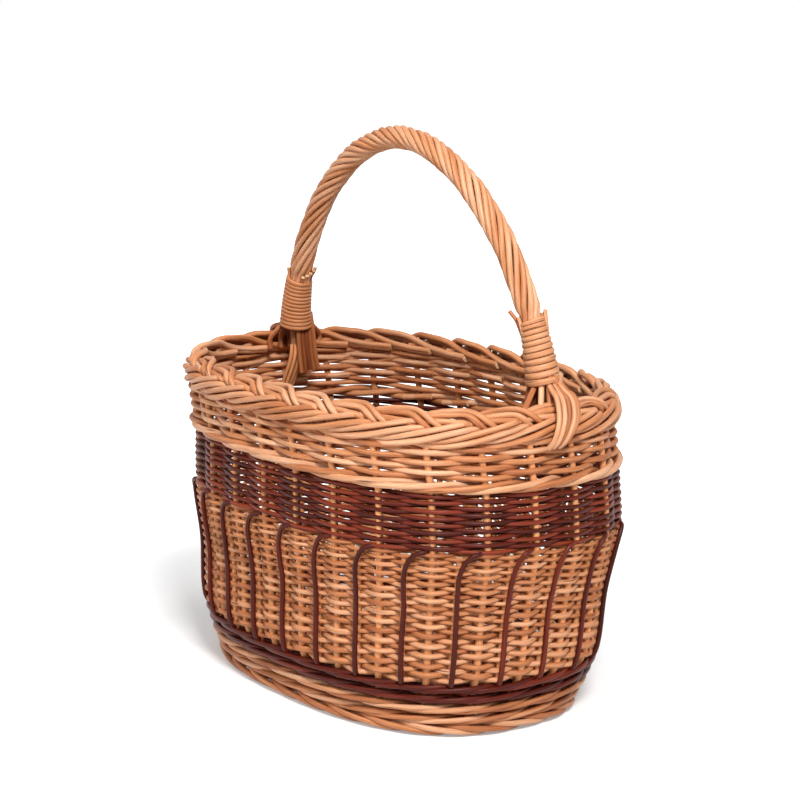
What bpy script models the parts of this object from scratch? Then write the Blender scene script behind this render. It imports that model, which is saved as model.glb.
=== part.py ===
"""Oval mushroom basket of buff and dark willow, with a raised foot, a plaited border and a roped bow handle.

The basket stands on the floor at z = 0 with its centre on the Z axis. X runs along the oval, under the bow,
and Y runs across it. Every band of the wall is a closed shell that follows one oval outline. The stakes stand
just inside these shells, and the dark ribs lie outside the lower one.
"""

import math

import bmesh
import bpy
import numpy as np
from mathutils import Vector

# Oval of the foot on the floor, along X and Y, and how square its ends are (2 is an ellipse)
FOOT_LENGTH = 0.3292
FOOT_WIDTH = 0.2240
OVAL_SQUARENESS = 2.53

# How far the wall's outer face spreads past the foot's outline, from the floor up
SPREAD_AT_DARK_WALE = 0.0193
SPREAD_AT_BELLY = 0.0332
SPREAD_AT_SHOULDER = 0.0317
SPREAD_AT_NECK = 0.0320

# Heights of the bands, from the floor up
FOOT_BORDER_HEIGHT = 0.0100
FOOT_WALE_HEIGHT = 0.0200
DARK_WALE_HEIGHT = 0.0180
LOWER_WEAVE_HEIGHT = 0.1080
DARK_BAND_HEIGHT = 0.0460
MID_WALE_HEIGHT = 0.0110
UPPER_WEAVE_HEIGHT = 0.0250
BORDER_HEIGHT = 0.0280

# Thickness of the woven shell outside the stakes, and how far the thick rounds stand proud of it
SHELL_THICKNESS = 0.0050
FOOT_WALE_BULGE = 0.0010
DARK_WALE_BULGE = 0.0015
MID_WALE_BULGE = 0.0028

# Relief of the weave, coarser than its real rows: ridges over the light stakes, drawn in between them
LOWER_RIDGE_COUNT = 7
LOWER_FRONT_DEPTH = 0.0006
LOWER_VALLEY_DEPTH = 0.0038
LOWER_PLAIN_SHARE = 0.20
RIB_SAG_CLEARANCE = 0.0004
BAND_RIDGE_COUNT = 3
BAND_FRONT_DEPTH = 0.0
BAND_CROSSING_DEPTH = 0.0012
BAND_VALLEY_DEPTH = 0.0026

# The plaited border: its depth from the inside to the outside, its overhang and its outline
BORDER_DEPTH = 0.0230
BORDER_OVERHANG = 0.0030
BORDER_OUTLINE_SHARES = (
    (0.30, 0.18),
    (0.00, 0.71),
    (0.17, 1.00),
    (0.65, 0.86),
    (1.00, 0.36),
    (0.91, 0.04),
    (0.65, 0.00),
)

# Upright stakes, and the dark ribs between them on the lower weave
STAKE_COUNT = 26
STAKE_DIAMETER = 0.0040
RIB_DIAMETER = 0.0040
RIB_RECESS = 0.0030
RIB_SIDE_BEND = 0.0130
RIB_BEND_SHARES = (0.0, 0.0, 0.0, 0.25, 1.0)
RIB_HEIGHT_SHARES = (0.0, 0.33, 0.66, 0.88, 1.0)
RIB_END_GAP = 0.0008
STAKE_END_GAP = 0.0008

# The woven base: a thick oval mat round cross sticks, which are pierced by long sticks
BASE_LIFT = 0.0030
BASE_THICKNESS = 0.0120
CROSS_STICK_COUNT = 5
CROSS_STICK_DIAMETER = 0.0080
CROSS_STICK_STEP_SHARE = 0.16707
LONG_STICK_COUNT = 3
LONG_STICK_DIAMETER = 0.0045
LONG_STICK_STEP = 0.0300

# The bow handle's arch: its rise over the foot, its roundness, its place and its lean to one side
HANDLE_RISE = 0.2020
HANDLE_ROUNDNESS = 1.87
HANDLE_INSET = 0.0099
HANDLE_FOOT_LIFT = 0.0151
HANDLE_SIDE_STEP = 0.0098
HANDLE_SIDE_LEAN = 0.0180

# The bow's core rod, which runs on down inside the wall beside the stakes
CORE_DIAMETER = 0.0094
CORE_BORE_CLEARANCE = 0.0006
CORE_LEG_TOP_DROP = 0.0150
CORE_LEG_LENGTH = 0.0700

# The roped rods round the core: diameters at the crown, on the legs, and where the bindings pinch them
ROPE_CROWN_DIAMETER = 0.0188
ROPE_LEG_DIAMETER = 0.0208
ROPE_PINCH_DIAMETER = 0.0160
ROPE_FOOT_DIAMETER = 0.0224
ROPE_SHOULDER_LENGTH = 0.0050

# The two whipped bindings: turns of one skein each, and how far up the legs they start
LEFT_BINDING_TURNS = 13
LEFT_SKEIN_DIAMETER = 0.0028
LEFT_BINDING_PITCH = 0.0035
LEFT_BINDING_START = 0.0180
RIGHT_BINDING_TURNS = 11
RIGHT_SKEIN_DIAMETER = 0.0038
RIGHT_BINDING_PITCH = 0.0046
RIGHT_BINDING_START = 0.0220
BINDING_END_MARGIN = 0.0015

# The groups of rods that leave the bindings: over the border outside, and down inside the wall
TAIL_THICKNESS = 0.0046
OUTER_TAIL_TOP_WIDTH = 0.0220
OUTER_TAIL_END_WIDTH = 0.0150
OUTER_TAIL_DROP = 0.0090
INNER_TAIL_WIDTH = 0.0190
INNER_TAIL_LENGTH = 0.0380
INNER_TAIL_DRIFT = 0.0050
TAIL_ROUND_SHARE = 0.4

# Gap between touching pieces, the overrun of every cut, and the counts of facets
GAP = 0.0003
CUT_OVERRUN = 0.0030
RING_STEPS = 2 * STAKE_COUNT
RING_ROW_HEIGHT = 0.0280
LOOP_POINTS = 20
ARCH_STEPS = 26
OUTLINE_SAMPLES = 2880
SHARP_ANGLE = math.radians(40)
WELD_DISTANCE = 0.00001

# Colours (linear), roughness
BUFF_WILLOW = (0.60, 0.32, 0.15, 1.0)
DARK_WILLOW = (0.09, 0.016, 0.010, 1.0)
BROWN_WILLOW = (0.40, 0.19, 0.08, 1.0)
PEELED_CORE = (0.66, 0.42, 0.24, 1.0)
WILLOW_ROUGHNESS = 0.45

# Levels of the bands, each a gap above the one below
FOOT_WALE_LEVEL = FOOT_BORDER_HEIGHT
DARK_WALE_LEVEL = FOOT_WALE_LEVEL + FOOT_WALE_HEIGHT
LOWER_WEAVE_LEVEL = DARK_WALE_LEVEL + DARK_WALE_HEIGHT
DARK_BAND_LEVEL = LOWER_WEAVE_LEVEL + LOWER_WEAVE_HEIGHT
MID_WALE_LEVEL = DARK_BAND_LEVEL + DARK_BAND_HEIGHT
UPPER_WEAVE_LEVEL = MID_WALE_LEVEL + MID_WALE_HEIGHT
BORDER_LEVEL = UPPER_WEAVE_LEVEL + UPPER_WEAVE_HEIGHT
BORDER_OUTER_SPREAD = SPREAD_AT_NECK + BORDER_OVERHANG
BORDER_INNER_SPREAD = BORDER_OUTER_SPREAD - BORDER_DEPTH
STAKE_DEPTH = SHELL_THICKNESS + GAP + STAKE_DIAMETER / 2
BASE_LEVEL = FOOT_BORDER_HEIGHT + BASE_LIFT
BASE_RIM_DEPTH = STAKE_DEPTH + STAKE_DIAMETER / 2 + GAP
HANDLE_HALF_SPAN = FOOT_LENGTH / 2 + BORDER_INNER_SPREAD - HANDLE_INSET
HANDLE_FOOT_LEVEL = BORDER_LEVEL + HANDLE_FOOT_LIFT


# The oval outline and the wall's flare

def signed_power(value, power):
    """The power of a signed number, with its sign kept."""
    return math.copysign(abs(value) ** power, value)


def oval_xy(angle, spread):
    """A point of the oval at an angle of its own, with both half axes grown by the spread."""
    power = 2 / OVAL_SQUARENESS
    x = (FOOT_LENGTH / 2 + spread) * signed_power(math.cos(angle), power)
    y = (FOOT_WIDTH / 2 + spread) * signed_power(math.sin(angle), power)
    return x, y


def even_angles():
    """Angles, and the share of the way round the belly's outline that each has reached."""
    angles = np.linspace(0, 2 * math.pi, OUTLINE_SAMPLES + 1)
    points = np.array([oval_xy(angle, SPREAD_AT_BELLY) for angle in angles])
    lengths = np.concatenate(([0], np.cumsum(np.linalg.norm(np.diff(points, axis=0), axis=1))))
    return lengths / lengths[-1], angles, lengths[-1]


OUTLINE_SHARES, OUTLINE_ANGLES, BELLY_GIRTH = even_angles()


def oval_point(turn, spread, height):
    """A point at a share of the way round from the +X end, anticlockwise from above."""
    angle = float(np.interp(turn % 1, OUTLINE_SHARES, OUTLINE_ANGLES))
    x, y = oval_xy(angle, spread)
    return Vector((x, y, height))


def hermite(heights, spreads, height):
    """A smooth curve through the named spreads, with no overshoot to speak of."""
    slopes = [(b - a) / (d - c) for a, b, c, d in zip(spreads, spreads[1:], heights, heights[1:])]
    tangents = [slopes[0]]
    for below, above, low, middle, high in zip(slopes, slopes[1:], heights, heights[1:], heights[2:]):
        tangents.append((below * (high - middle) + above * (middle - low)) / (high - low))
    tangents.append(slopes[-1])
    index = min(max(int(np.searchsorted(heights, height)) - 1, 0), len(slopes) - 1)
    step = heights[index + 1] - heights[index]
    share = (height - heights[index]) / step
    square, cube = share ** 2, share ** 3
    rise = 3 * square - 2 * cube
    spread = (1 - rise) * spreads[index] + rise * spreads[index + 1]
    leaving = (cube - 2 * square + share) * step * tangents[index]
    arriving = (cube - square) * step * tangents[index + 1]
    return spread + leaving + arriving


def wall_spread(height):
    """How far the wall's outer face spreads past the foot's outline at a height."""
    heights = (0, LOWER_WEAVE_LEVEL, DARK_BAND_LEVEL, MID_WALE_LEVEL, BORDER_LEVEL)
    spreads = (0, SPREAD_AT_DARK_WALE, SPREAD_AT_BELLY, SPREAD_AT_SHOULDER, SPREAD_AT_NECK)
    return hermite(heights, spreads, height)


def wall_point(turn, height, depth):
    """A point of the wall at a depth inwards from its outer face."""
    return oval_point(turn, wall_spread(height) - depth, height)


# Materials

def willow(name, colour):
    """A plain Principled willow material."""
    material = bpy.data.materials.new(name)
    material.use_nodes = True
    shader = material.node_tree.nodes["Principled BSDF"]
    shader.inputs["Base Color"].default_value = colour
    shader.inputs["Roughness"].default_value = WILLOW_ROUGHNESS
    shader.inputs["Metallic"].default_value = 0
    return material


def buff_willow():
    """Peach-tan willow of the weave, border and handle."""
    return willow("buff_willow", BUFF_WILLOW)


def dark_willow():
    """Deep red-brown willow of the band, the lower wale and the ribs."""
    return willow("dark_willow", DARK_WILLOW)


def brown_willow():
    """Browner rods of the stakes and the tails inside."""
    return willow("brown_willow", BROWN_WILLOW)


def peeled_core():
    """Pale wood of the sticks of the base and the bow's core."""
    return willow("peeled_core", PEELED_CORE)


# Makers of solids

def add_mesh_object(name, mesh, material, collection):
    """A mesh as a named object of the basket, shaded smooth on its round faces."""
    mesh.materials.clear()
    mesh.materials.append(material)
    mesh.shade_smooth()
    mesh.set_sharp_from_angle(angle=SHARP_ANGLE)
    piece = bpy.data.objects.new(name, mesh)
    collection.objects.link(piece)
    return piece


def skin(name, sections, joined_round, material, collection):
    """A closed skin over sections with the same number of corners, capped or joined round."""
    work = bmesh.new()
    rows = [[work.verts.new(corner) for corner in section] for section in sections]
    corners = len(sections[0])
    followers = rows[1:] + (rows[:1] if joined_round else [])
    for row, follower in zip(rows, followers):
        for corner in range(corners):
            beside = (corner + 1) % corners
            work.faces.new((row[corner], follower[corner], follower[beside], row[beside]))
    if not joined_round:
        work.faces.new(rows[0])
        work.faces.new(list(reversed(rows[-1])))
    bmesh.ops.recalc_face_normals(work, faces=work.faces)
    mesh = bpy.data.meshes.new(name)
    work.to_mesh(mesh)
    work.free()
    return add_mesh_object(name, mesh, material, collection)


def tube_curve(name, runs, radius, sides_step, closed=False):
    """A curve object of one or more rods. A run is a list of points, each with its share of the radius."""
    curve = bpy.data.curves.new(name, "CURVE")
    curve.dimensions = "3D"
    curve.bevel_depth = radius
    curve.bevel_resolution = sides_step
    curve.use_fill_caps = not closed
    for run in runs:
        spline = curve.splines.new("POLY")
        spline.points.add(len(run) - 1)
        for point, (place, share) in zip(spline.points, run):
            point.co = (*place, 1)
            point.radius = share
        spline.use_cyclic_u = closed
        spline.use_smooth = True
    return bpy.data.objects.new(name, curve)


def add_rod(name, places, diameter, material, collection, sides_step=1):
    """One rod of even thickness as a named object."""
    piece = tube_curve(name, [[(place, 1) for place in places]], diameter / 2, sides_step)
    piece.data.materials.append(material)
    collection.objects.link(piece)
    return piece


def as_mesh(piece, collection):
    """A curve object turned into a welded mesh object, so that it can be cut or joined."""
    bpy.context.scene.collection.objects.link(piece)
    evaluated = piece.evaluated_get(bpy.context.evaluated_depsgraph_get())
    mesh = bpy.data.meshes.new_from_object(evaluated)
    work = bmesh.new()
    work.from_mesh(mesh)
    bmesh.ops.remove_doubles(work, verts=work.verts, dist=WELD_DISTANCE)
    bmesh.ops.recalc_face_normals(work, faces=work.faces)
    work.to_mesh(mesh)
    work.free()
    name, place = piece.name, piece.matrix_world.copy()
    bpy.data.objects.remove(piece)
    made = bpy.data.objects.new(name, mesh)
    made.matrix_world = place
    collection.objects.link(made)
    return made


def as_cutter(piece, cutters):
    """A welded mesh kept out of the basket, for a Boolean to use."""
    cutter = as_mesh(piece, cutters)
    cutter.hide_render = True
    cutter.display_type = "WIRE"
    return cutter


def combine(piece, operation, cutter):
    """A Boolean modifier on a piece."""
    modifier = piece.modifiers.new(operation.lower(), "BOOLEAN")
    modifier.operation = operation
    modifier.solver = "EXACT"
    modifier.object = cutter


# Bands of the wall

def band_rows(bottom, top):
    """Heights of the rows of facets of a band."""
    steps = max(1, round((top - bottom) / RING_ROW_HEIGHT))
    return [bottom + (top - bottom) * step / steps for step in range(steps + 1)]


def add_band(name, level, height, bulge, thickness, material, collection):
    """A closed band of weave between two levels, with its outer face proud of the wall by the bulge."""
    rows = band_rows(level, level + height - GAP)
    outline = [(-bulge, row) for row in rows] + [(thickness, row) for row in reversed(rows)]
    sections = []
    for step in range(RING_STEPS):
        sections.append([wall_point(step / RING_STEPS, row, depth) for depth, row in outline])
    return skin(name, sections, True, material, collection)


def ridge_rows(bottom, top, ridges):
    """Heights of valleys and ridges by turns, each with 1 on a ridge and 0 in a valley."""
    steps = 2 * ridges
    return [(bottom + (top - bottom) * step / steps, step % 2) for step in range(steps + 1)]


def add_woven_band(name, level, height, ridges, plain_share, depths, material, collection):
    """A closed band whose outer face has ridges over the light stakes, and is plain at its top."""
    front, valley, crossing = depths
    top = level + height - GAP
    ridged_top = top - plain_share * height
    inner = [(SHELL_THICKNESS, row) for row in reversed(band_rows(level, top))]
    plain = [(crossing, top)] if plain_share else []
    sections = []
    for step in range(RING_STEPS):
        at_stake = step % 2
        outer = []
        for row, on_ridge in ridge_rows(level, ridged_top, ridges):
            stake_depth = front if on_ridge else valley
            outer.append((stake_depth if at_stake else crossing, row))
        outline = outer + plain + inner
        sections.append([wall_point(step / RING_STEPS, row, depth) for depth, row in outline])
    return skin(name, sections, True, material, collection)


def add_foot_border(material, collection):
    """The rope-like border on the floor, as thick as the shell and the stakes that stand on it."""
    thickness = STAKE_DEPTH + STAKE_DIAMETER / 2
    add_band("foot_border", 0, FOOT_BORDER_HEIGHT, 0, thickness, material, collection)


def add_plaited_border(material, collection):
    """The thick plait on the rim, leaning outwards from its crest."""
    sections = []
    for step in range(RING_STEPS):
        section = []
        for depth_share, height_share in BORDER_OUTLINE_SHARES:
            spread = BORDER_INNER_SPREAD + depth_share * BORDER_DEPTH
            height = BORDER_LEVEL + height_share * BORDER_HEIGHT
            section.append(oval_point(step / RING_STEPS, spread, height))
        sections.append(section)
    skin("plaited_border", sections, True, material, collection)


def add_bands(buff, dark, collection):
    """All the bands of the wall, from the floor up."""
    add_foot_border(buff, collection)
    bands = (
        ("foot_wale", FOOT_WALE_LEVEL, FOOT_WALE_HEIGHT, FOOT_WALE_BULGE, buff),
        ("dark_lower_wale", DARK_WALE_LEVEL, DARK_WALE_HEIGHT, DARK_WALE_BULGE, dark),
        ("mid_wale", MID_WALE_LEVEL, MID_WALE_HEIGHT, MID_WALE_BULGE, buff),
        ("upper_weave", UPPER_WEAVE_LEVEL, UPPER_WEAVE_HEIGHT, 0, buff),
    )
    for name, level, height, bulge, material in bands:
        add_band(name, level, height, bulge, SHELL_THICKNESS, material, collection)
    lower_depths = (LOWER_FRONT_DEPTH, LOWER_VALLEY_DEPTH, RIB_RECESS + RIB_SAG_CLEARANCE)
    add_woven_band("lower_weave", LOWER_WEAVE_LEVEL, LOWER_WEAVE_HEIGHT, LOWER_RIDGE_COUNT,
                   LOWER_PLAIN_SHARE, lower_depths, buff, collection)
    band_depths = (BAND_FRONT_DEPTH, BAND_VALLEY_DEPTH, BAND_CROSSING_DEPTH)
    add_woven_band("dark_band", DARK_BAND_LEVEL, DARK_BAND_HEIGHT, BAND_RIDGE_COUNT, 0,
                   band_depths, dark, collection)
    add_plaited_border(buff, collection)


# Stakes and ribs

def stake_rows():
    """Heights along a stake, from the foot's border to the bend under the plait."""
    bottom = FOOT_BORDER_HEIGHT + STAKE_END_GAP
    top = BORDER_LEVEL - GAP - STAKE_DIAMETER / 2
    middle = (LOWER_WEAVE_LEVEL + DARK_BAND_LEVEL) / 2
    return bottom, DARK_WALE_LEVEL, LOWER_WEAVE_LEVEL, middle, DARK_BAND_LEVEL, MID_WALE_LEVEL, top


def add_stakes(material, collection, cutters):
    """The upright stakes, with their tops bent over along the rim, where they become the plait's rods."""
    runs = []
    for stake in range(STAKE_COUNT):
        turn = (stake + 1 / 2) / STAKE_COUNT
        runs.append([(wall_point(turn, row, STAKE_DEPTH), 1) for row in stake_rows()])
    stakes = as_mesh(tube_curve("stakes", runs, STAKE_DIAMETER / 2, 0), collection)
    add_material(stakes, material)
    level = stake_rows()[-1] - STAKE_DIAMETER / 4
    bend = [(wall_point(step / RING_STEPS, level, STAKE_DEPTH), 1) for step in range(RING_STEPS)]
    ring = as_cutter(tube_curve("bent_tops", [bend], STAKE_DIAMETER / 2, 0, closed=True), cutters)
    combine(stakes, "UNION", ring)


def add_material(piece, material):
    """One material on a mesh object."""
    piece.data.materials.clear()
    piece.data.materials.append(material)


def rib_places(rib):
    """Points up one dark rib: straight up the weave, then bent sideways under the dark band."""
    depth = RIB_RECESS - GAP - RIB_DIAMETER / 2
    bottom = LOWER_WEAVE_LEVEL + RIB_END_GAP
    top = DARK_BAND_LEVEL - RIB_END_GAP - RIB_DIAMETER / 4
    places = []
    for height_share, bend_share in zip(RIB_HEIGHT_SHARES, RIB_BEND_SHARES):
        turn = rib / STAKE_COUNT + bend_share * RIB_SIDE_BEND / BELLY_GIRTH
        places.append(wall_point(turn, bottom + height_share * (top - bottom), depth))
    return places


def add_ribs(material, collection):
    """The dark ribs, one between each two stakes, outside the lower weave."""
    for rib in range(STAKE_COUNT):
        add_rod(f"rib_{rib + 1:02d}", rib_places(rib), RIB_DIAMETER, material, collection)


# Base

def base_stick_level():
    """Height of the middle of the base's sticks."""
    return BASE_LEVEL + BASE_THICKNESS / 2


def base_reach(offset, along_x):
    """Half the length of a stick of the base, out to the mat's narrower lower edge."""
    spread = wall_spread(BASE_LEVEL) - BASE_RIM_DEPTH
    long_half = FOOT_LENGTH / 2 + spread
    short_half = FOOT_WIDTH / 2 + spread
    reach, across = (long_half, short_half) if along_x else (short_half, long_half)
    return reach * (1 - (abs(offset) / across) ** OVAL_SQUARENESS) ** (1 / OVAL_SQUARENESS)


def cross_stick_run(index, overrun):
    """Ends of a cross stick, which lies along Y."""
    x = (index - (CROSS_STICK_COUNT - 1) / 2) * CROSS_STICK_STEP_SHARE * FOOT_LENGTH
    half = base_reach(x, False) + overrun
    level = base_stick_level()
    return [Vector((x, -half, level)), Vector((x, half, level))]


def long_stick_run(index, overrun):
    """Ends of a long stick, which lies along X."""
    y = (index - (LONG_STICK_COUNT - 1) / 2) * LONG_STICK_STEP
    half = base_reach(y, True) + overrun
    level = base_stick_level()
    return [Vector((-half, y, level)), Vector((half, y, level))]


def stick_cutter(name, runs, diameter, cutters):
    """Room for a set of parallel sticks, a gap wider all round."""
    rods = [[(place, 1) for place in run] for run in runs]
    return as_cutter(tube_curve(name, rods, diameter / 2 + 2 * GAP, 1), cutters)


def add_base(buff, wood, collection, cutters):
    """The oval mat of the base with its cross sticks and the long sticks that pierce them."""
    cross = range(CROSS_STICK_COUNT)
    long = range(LONG_STICK_COUNT)
    overrun = BASE_RIM_DEPTH
    cross_room = stick_cutter("cross_stick_room", [cross_stick_run(index, overrun) for index in cross],
                              CROSS_STICK_DIAMETER, cutters)
    long_room = stick_cutter("long_stick_room", [long_stick_run(index, overrun) for index in long],
                             LONG_STICK_DIAMETER, cutters)
    sections = []
    for height in (BASE_LEVEL, BASE_LEVEL + BASE_THICKNESS):
        sections.append([wall_point(step / RING_STEPS, height, BASE_RIM_DEPTH) for step in range(RING_STEPS)])
    mat = skin("base_weave", sections, False, buff, collection)
    combine(mat, "DIFFERENCE", cross_room)
    combine(mat, "DIFFERENCE", long_room)
    for index in cross:
        run = [(place, 1) for place in cross_stick_run(index, -GAP)]
        name = f"base_cross_stick_{index + 1}"
        stick = as_mesh(tube_curve(name, [run], CROSS_STICK_DIAMETER / 2, 1), collection)
        add_material(stick, wood)
        combine(stick, "DIFFERENCE", long_room)
    for index in long:
        run = long_stick_run(index, -GAP)
        add_rod(f"base_long_stick_{index + 1}", run, LONG_STICK_DIAMETER, wood, collection)


# Handle

def arch_point(angle):
    """A point of the bow's centre line, from the -X foot at 0 to the +X foot at half a turn."""
    power = 2 / HANDLE_ROUNDNESS
    x = -HANDLE_HALF_SPAN * signed_power(math.cos(angle), power)
    rise_share = abs(math.sin(angle)) ** power
    y = HANDLE_SIDE_STEP - HANDLE_SIDE_LEAN * rise_share
    return Vector((x, y, HANDLE_FOOT_LEVEL + HANDLE_RISE * rise_share))


def arch_samples():
    """Points along the bow and the length that each has reached."""
    angles = np.linspace(0, math.pi, OUTLINE_SAMPLES + 1)
    points = np.array([arch_point(angle) for angle in angles])
    lengths = np.concatenate(([0], np.cumsum(np.linalg.norm(np.diff(points, axis=0), axis=1))))
    return points, lengths


ARCH_POINTS, ARCH_LENGTHS = arch_samples()
ARCH_LENGTH = float(ARCH_LENGTHS[-1])
LEFT_WOUND_LENGTH = LEFT_BINDING_TURNS * LEFT_BINDING_PITCH + LEFT_SKEIN_DIAMETER
RIGHT_WOUND_LENGTH = RIGHT_BINDING_TURNS * RIGHT_BINDING_PITCH + RIGHT_SKEIN_DIAMETER
LEFT_BINDING_LENGTH = LEFT_WOUND_LENGTH + 2 * BINDING_END_MARGIN
RIGHT_BINDING_LENGTH = RIGHT_WOUND_LENGTH + 2 * BINDING_END_MARGIN
ROPE_START = LEFT_BINDING_START
ROPE_END = ARCH_LENGTH - RIGHT_BINDING_START


def arch_at(length):
    """The point of the bow's centre line at a length from the -X foot."""
    return Vector([float(np.interp(length, ARCH_LENGTHS, ARCH_POINTS[:, axis])) for axis in range(3)])


def arch_tangent(length):
    """Direction along the bow, from the -X foot to the +X foot."""
    step = HANDLE_RISE / ARCH_STEPS / 10
    return (arch_at(min(length + step, ARCH_LENGTH)) - arch_at(max(length - step, 0))).normalized()


def rope_knots():
    """Lengths along the bow and the rope's radius there, from one end of the roping to the other."""
    left_top = ROPE_START + LEFT_BINDING_LENGTH
    right_top = ROPE_END - RIGHT_BINDING_LENGTH
    lengths = (ROPE_START, left_top, left_top + ROPE_SHOULDER_LENGTH, ARCH_LENGTH / 2,
               right_top - ROPE_SHOULDER_LENGTH, right_top, ROPE_END)
    diameters = (ROPE_FOOT_DIAMETER, ROPE_PINCH_DIAMETER, ROPE_LEG_DIAMETER, ROPE_CROWN_DIAMETER,
                 ROPE_LEG_DIAMETER, ROPE_PINCH_DIAMETER, ROPE_FOOT_DIAMETER)
    return lengths, [diameter / 2 for diameter in diameters]


def rope_radius(length):
    """Radius of the roped handle at a length from the -X foot."""
    lengths, radii = rope_knots()
    return float(np.interp(length, lengths, radii))


def rope_stations():
    """Lengths along the bow where the rope and its bore have a ring of facets."""
    lengths, _ = rope_knots()
    middle = list(np.linspace(lengths[2], lengths[4], ARCH_STEPS + 1))
    left = [lengths[0], (lengths[0] + lengths[1]) / 2, lengths[1]]
    right = [lengths[5], (lengths[5] + lengths[6]) / 2, lengths[6]]
    return left + [float(length) for length in middle] + right


def core_leg(side):
    """Points down one leg of the core, from the bow's foot to its end beside a stake inside the wall."""
    foot = arch_at(0) if side < 0 else arch_at(ARCH_LENGTH)
    depth = SHELL_THICKNESS + 2 * GAP + CORE_DIAMETER / 2
    top = UPPER_WEAVE_LEVEL - CORE_LEG_TOP_DROP
    places = []
    for step in range(1, 5):
        share = step / 4
        height = foot.z + (top - foot.z) * share
        ease = share * share * (3 - 2 * share)
        wall_x = side * (FOOT_LENGTH / 2 + wall_spread(top) - depth)
        places.append(Vector((foot.x + (wall_x - foot.x) * ease, foot.y, height)))
    for share in (1 / 3, 2 / 3, 1):
        height = top - share * CORE_LEG_LENGTH
        wall_x = side * (FOOT_LENGTH / 2 + wall_spread(height) - depth)
        places.append(Vector((wall_x, foot.y, height)))
    return places


def add_handle_core(wood, collection):
    """The stout rod of the bow, with its legs pushed down inside the wall."""
    left = list(reversed(core_leg(-1)))
    right = core_leg(1)
    bow = [arch_at(length) for length in [0] + rope_stations() + [ARCH_LENGTH]]
    add_rod("handle_core", left + bow + right, CORE_DIAMETER, wood, collection, 2)


def add_handle_rope(buff, collection, cutters):
    """The rods roped round the core, as one sleeve of their outer shape with the core's bore through it."""
    stations = rope_stations()
    widest = ROPE_FOOT_DIAMETER / 2
    run = [(arch_at(length), rope_radius(length) / widest) for length in stations]
    rope = as_mesh(tube_curve("handle_rope", [run], widest, 3), collection)
    add_material(rope, buff)
    before = arch_at(stations[0]) - arch_tangent(stations[0]) * CUT_OVERRUN
    after = arch_at(stations[-1]) + arch_tangent(stations[-1]) * CUT_OVERRUN
    route = [before] + [arch_at(length) for length in stations] + [after]
    bore_radius = CORE_DIAMETER / 2 + CORE_BORE_CLEARANCE
    bore = as_cutter(tube_curve("core_bore", [[(place, 1) for place in route]], bore_radius, 3), cutters)
    combine(rope, "DIFFERENCE", bore)


def least_gap(points, diameter):
    """Least gap of a winding to itself, between points more than half a turn apart."""
    places = np.array(points)
    count = len(places)
    distances = np.linalg.norm(places[:, None] - places[None], axis=2)
    apart = np.abs(np.arange(count)[:, None] - np.arange(count)[None]) > LOOP_POINTS / 2
    return float(distances[apart].min()) - diameter


def winding_places(first, direction, turns, pitch, skein):
    """Points of a skein wound round the rope, climbing from its foot end, with a straight end each way."""
    count = turns * LOOP_POINTS
    places = []
    for step in range(count + 1):
        length = first + direction * pitch * step / LOOP_POINTS
        tangent = arch_tangent(length)
        across = Vector((0, 1, 0)) - tangent * tangent.y
        across.normalize()
        outward = tangent.cross(across)
        angle = 2 * math.pi * step / LOOP_POINTS
        radius = rope_radius(length) + 2 * GAP + skein / 2
        places.append(arch_at(length) + (across * math.cos(angle) + outward * math.sin(angle)) * radius)
    start = places[0] + (places[0] - places[1]).normalized() * skein
    end = places[-1] + (places[-1] - places[-2]).normalized() * skein
    return [start] + places + [end]


def add_bindings(buff, collection):
    """The two whipped bindings, each one skein wound round the foot of the rope."""
    bindings = (
        ("binding_left", ROPE_START, 1, LEFT_BINDING_TURNS, LEFT_BINDING_PITCH, LEFT_SKEIN_DIAMETER),
        ("binding_right", ROPE_END, -1, RIGHT_BINDING_TURNS, RIGHT_BINDING_PITCH, RIGHT_SKEIN_DIAMETER),
    )
    for name, end, direction, turns, pitch, skein in bindings:
        first = end + direction * (BINDING_END_MARGIN + skein / 2)
        places = winding_places(first, direction, turns, pitch, skein)
        print(f"{name}: least gap to itself {least_gap(places, skein):.5f} m")
        add_rod(name, places, skein, buff, collection)


def strap_section(centre, tangent, width):
    """Eight corners of a flat group of rods with rounded edges, square to its path."""
    across = Vector((0, 1, 0))
    normal = tangent.cross(across).normalized()
    half_width, half_thick = width / 2, TAIL_THICKNESS / 2
    cut = TAIL_ROUND_SHARE * TAIL_THICKNESS
    corners = ((half_width, half_thick - cut), (half_width - cut, half_thick),
               (cut - half_width, half_thick), (-half_width, half_thick - cut),
               (-half_width, cut - half_thick), (cut - half_width, -half_thick),
               (half_width - cut, -half_thick), (half_width, cut - half_thick))
    return [centre + across * side + normal * out for side, out in corners]


def add_strap(name, places, widths, material, collection):
    """A flat group of rods along a path in the bow's plane."""
    sections = []
    for index, place in enumerate(places):
        before = places[max(index - 1, 0)]
        after = places[min(index + 1, len(places) - 1)]
        tangent = after - before
        tangent.y = 0
        sections.append(strap_section(place, tangent.normalized(), widths[index]))
    skin(name, sections, False, material, collection)


def under_rope_end(end, beside):
    """The bow's place at an end of the rope, lowered to clear the lowest edge of the slanted end face."""
    place = arch_at(end)
    run = (arch_at(beside) - place).normalized()
    return place - Vector((0, 0, GAP + ROPE_FOOT_DIAMETER / 2 * math.hypot(run.x, run.y)))


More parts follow.
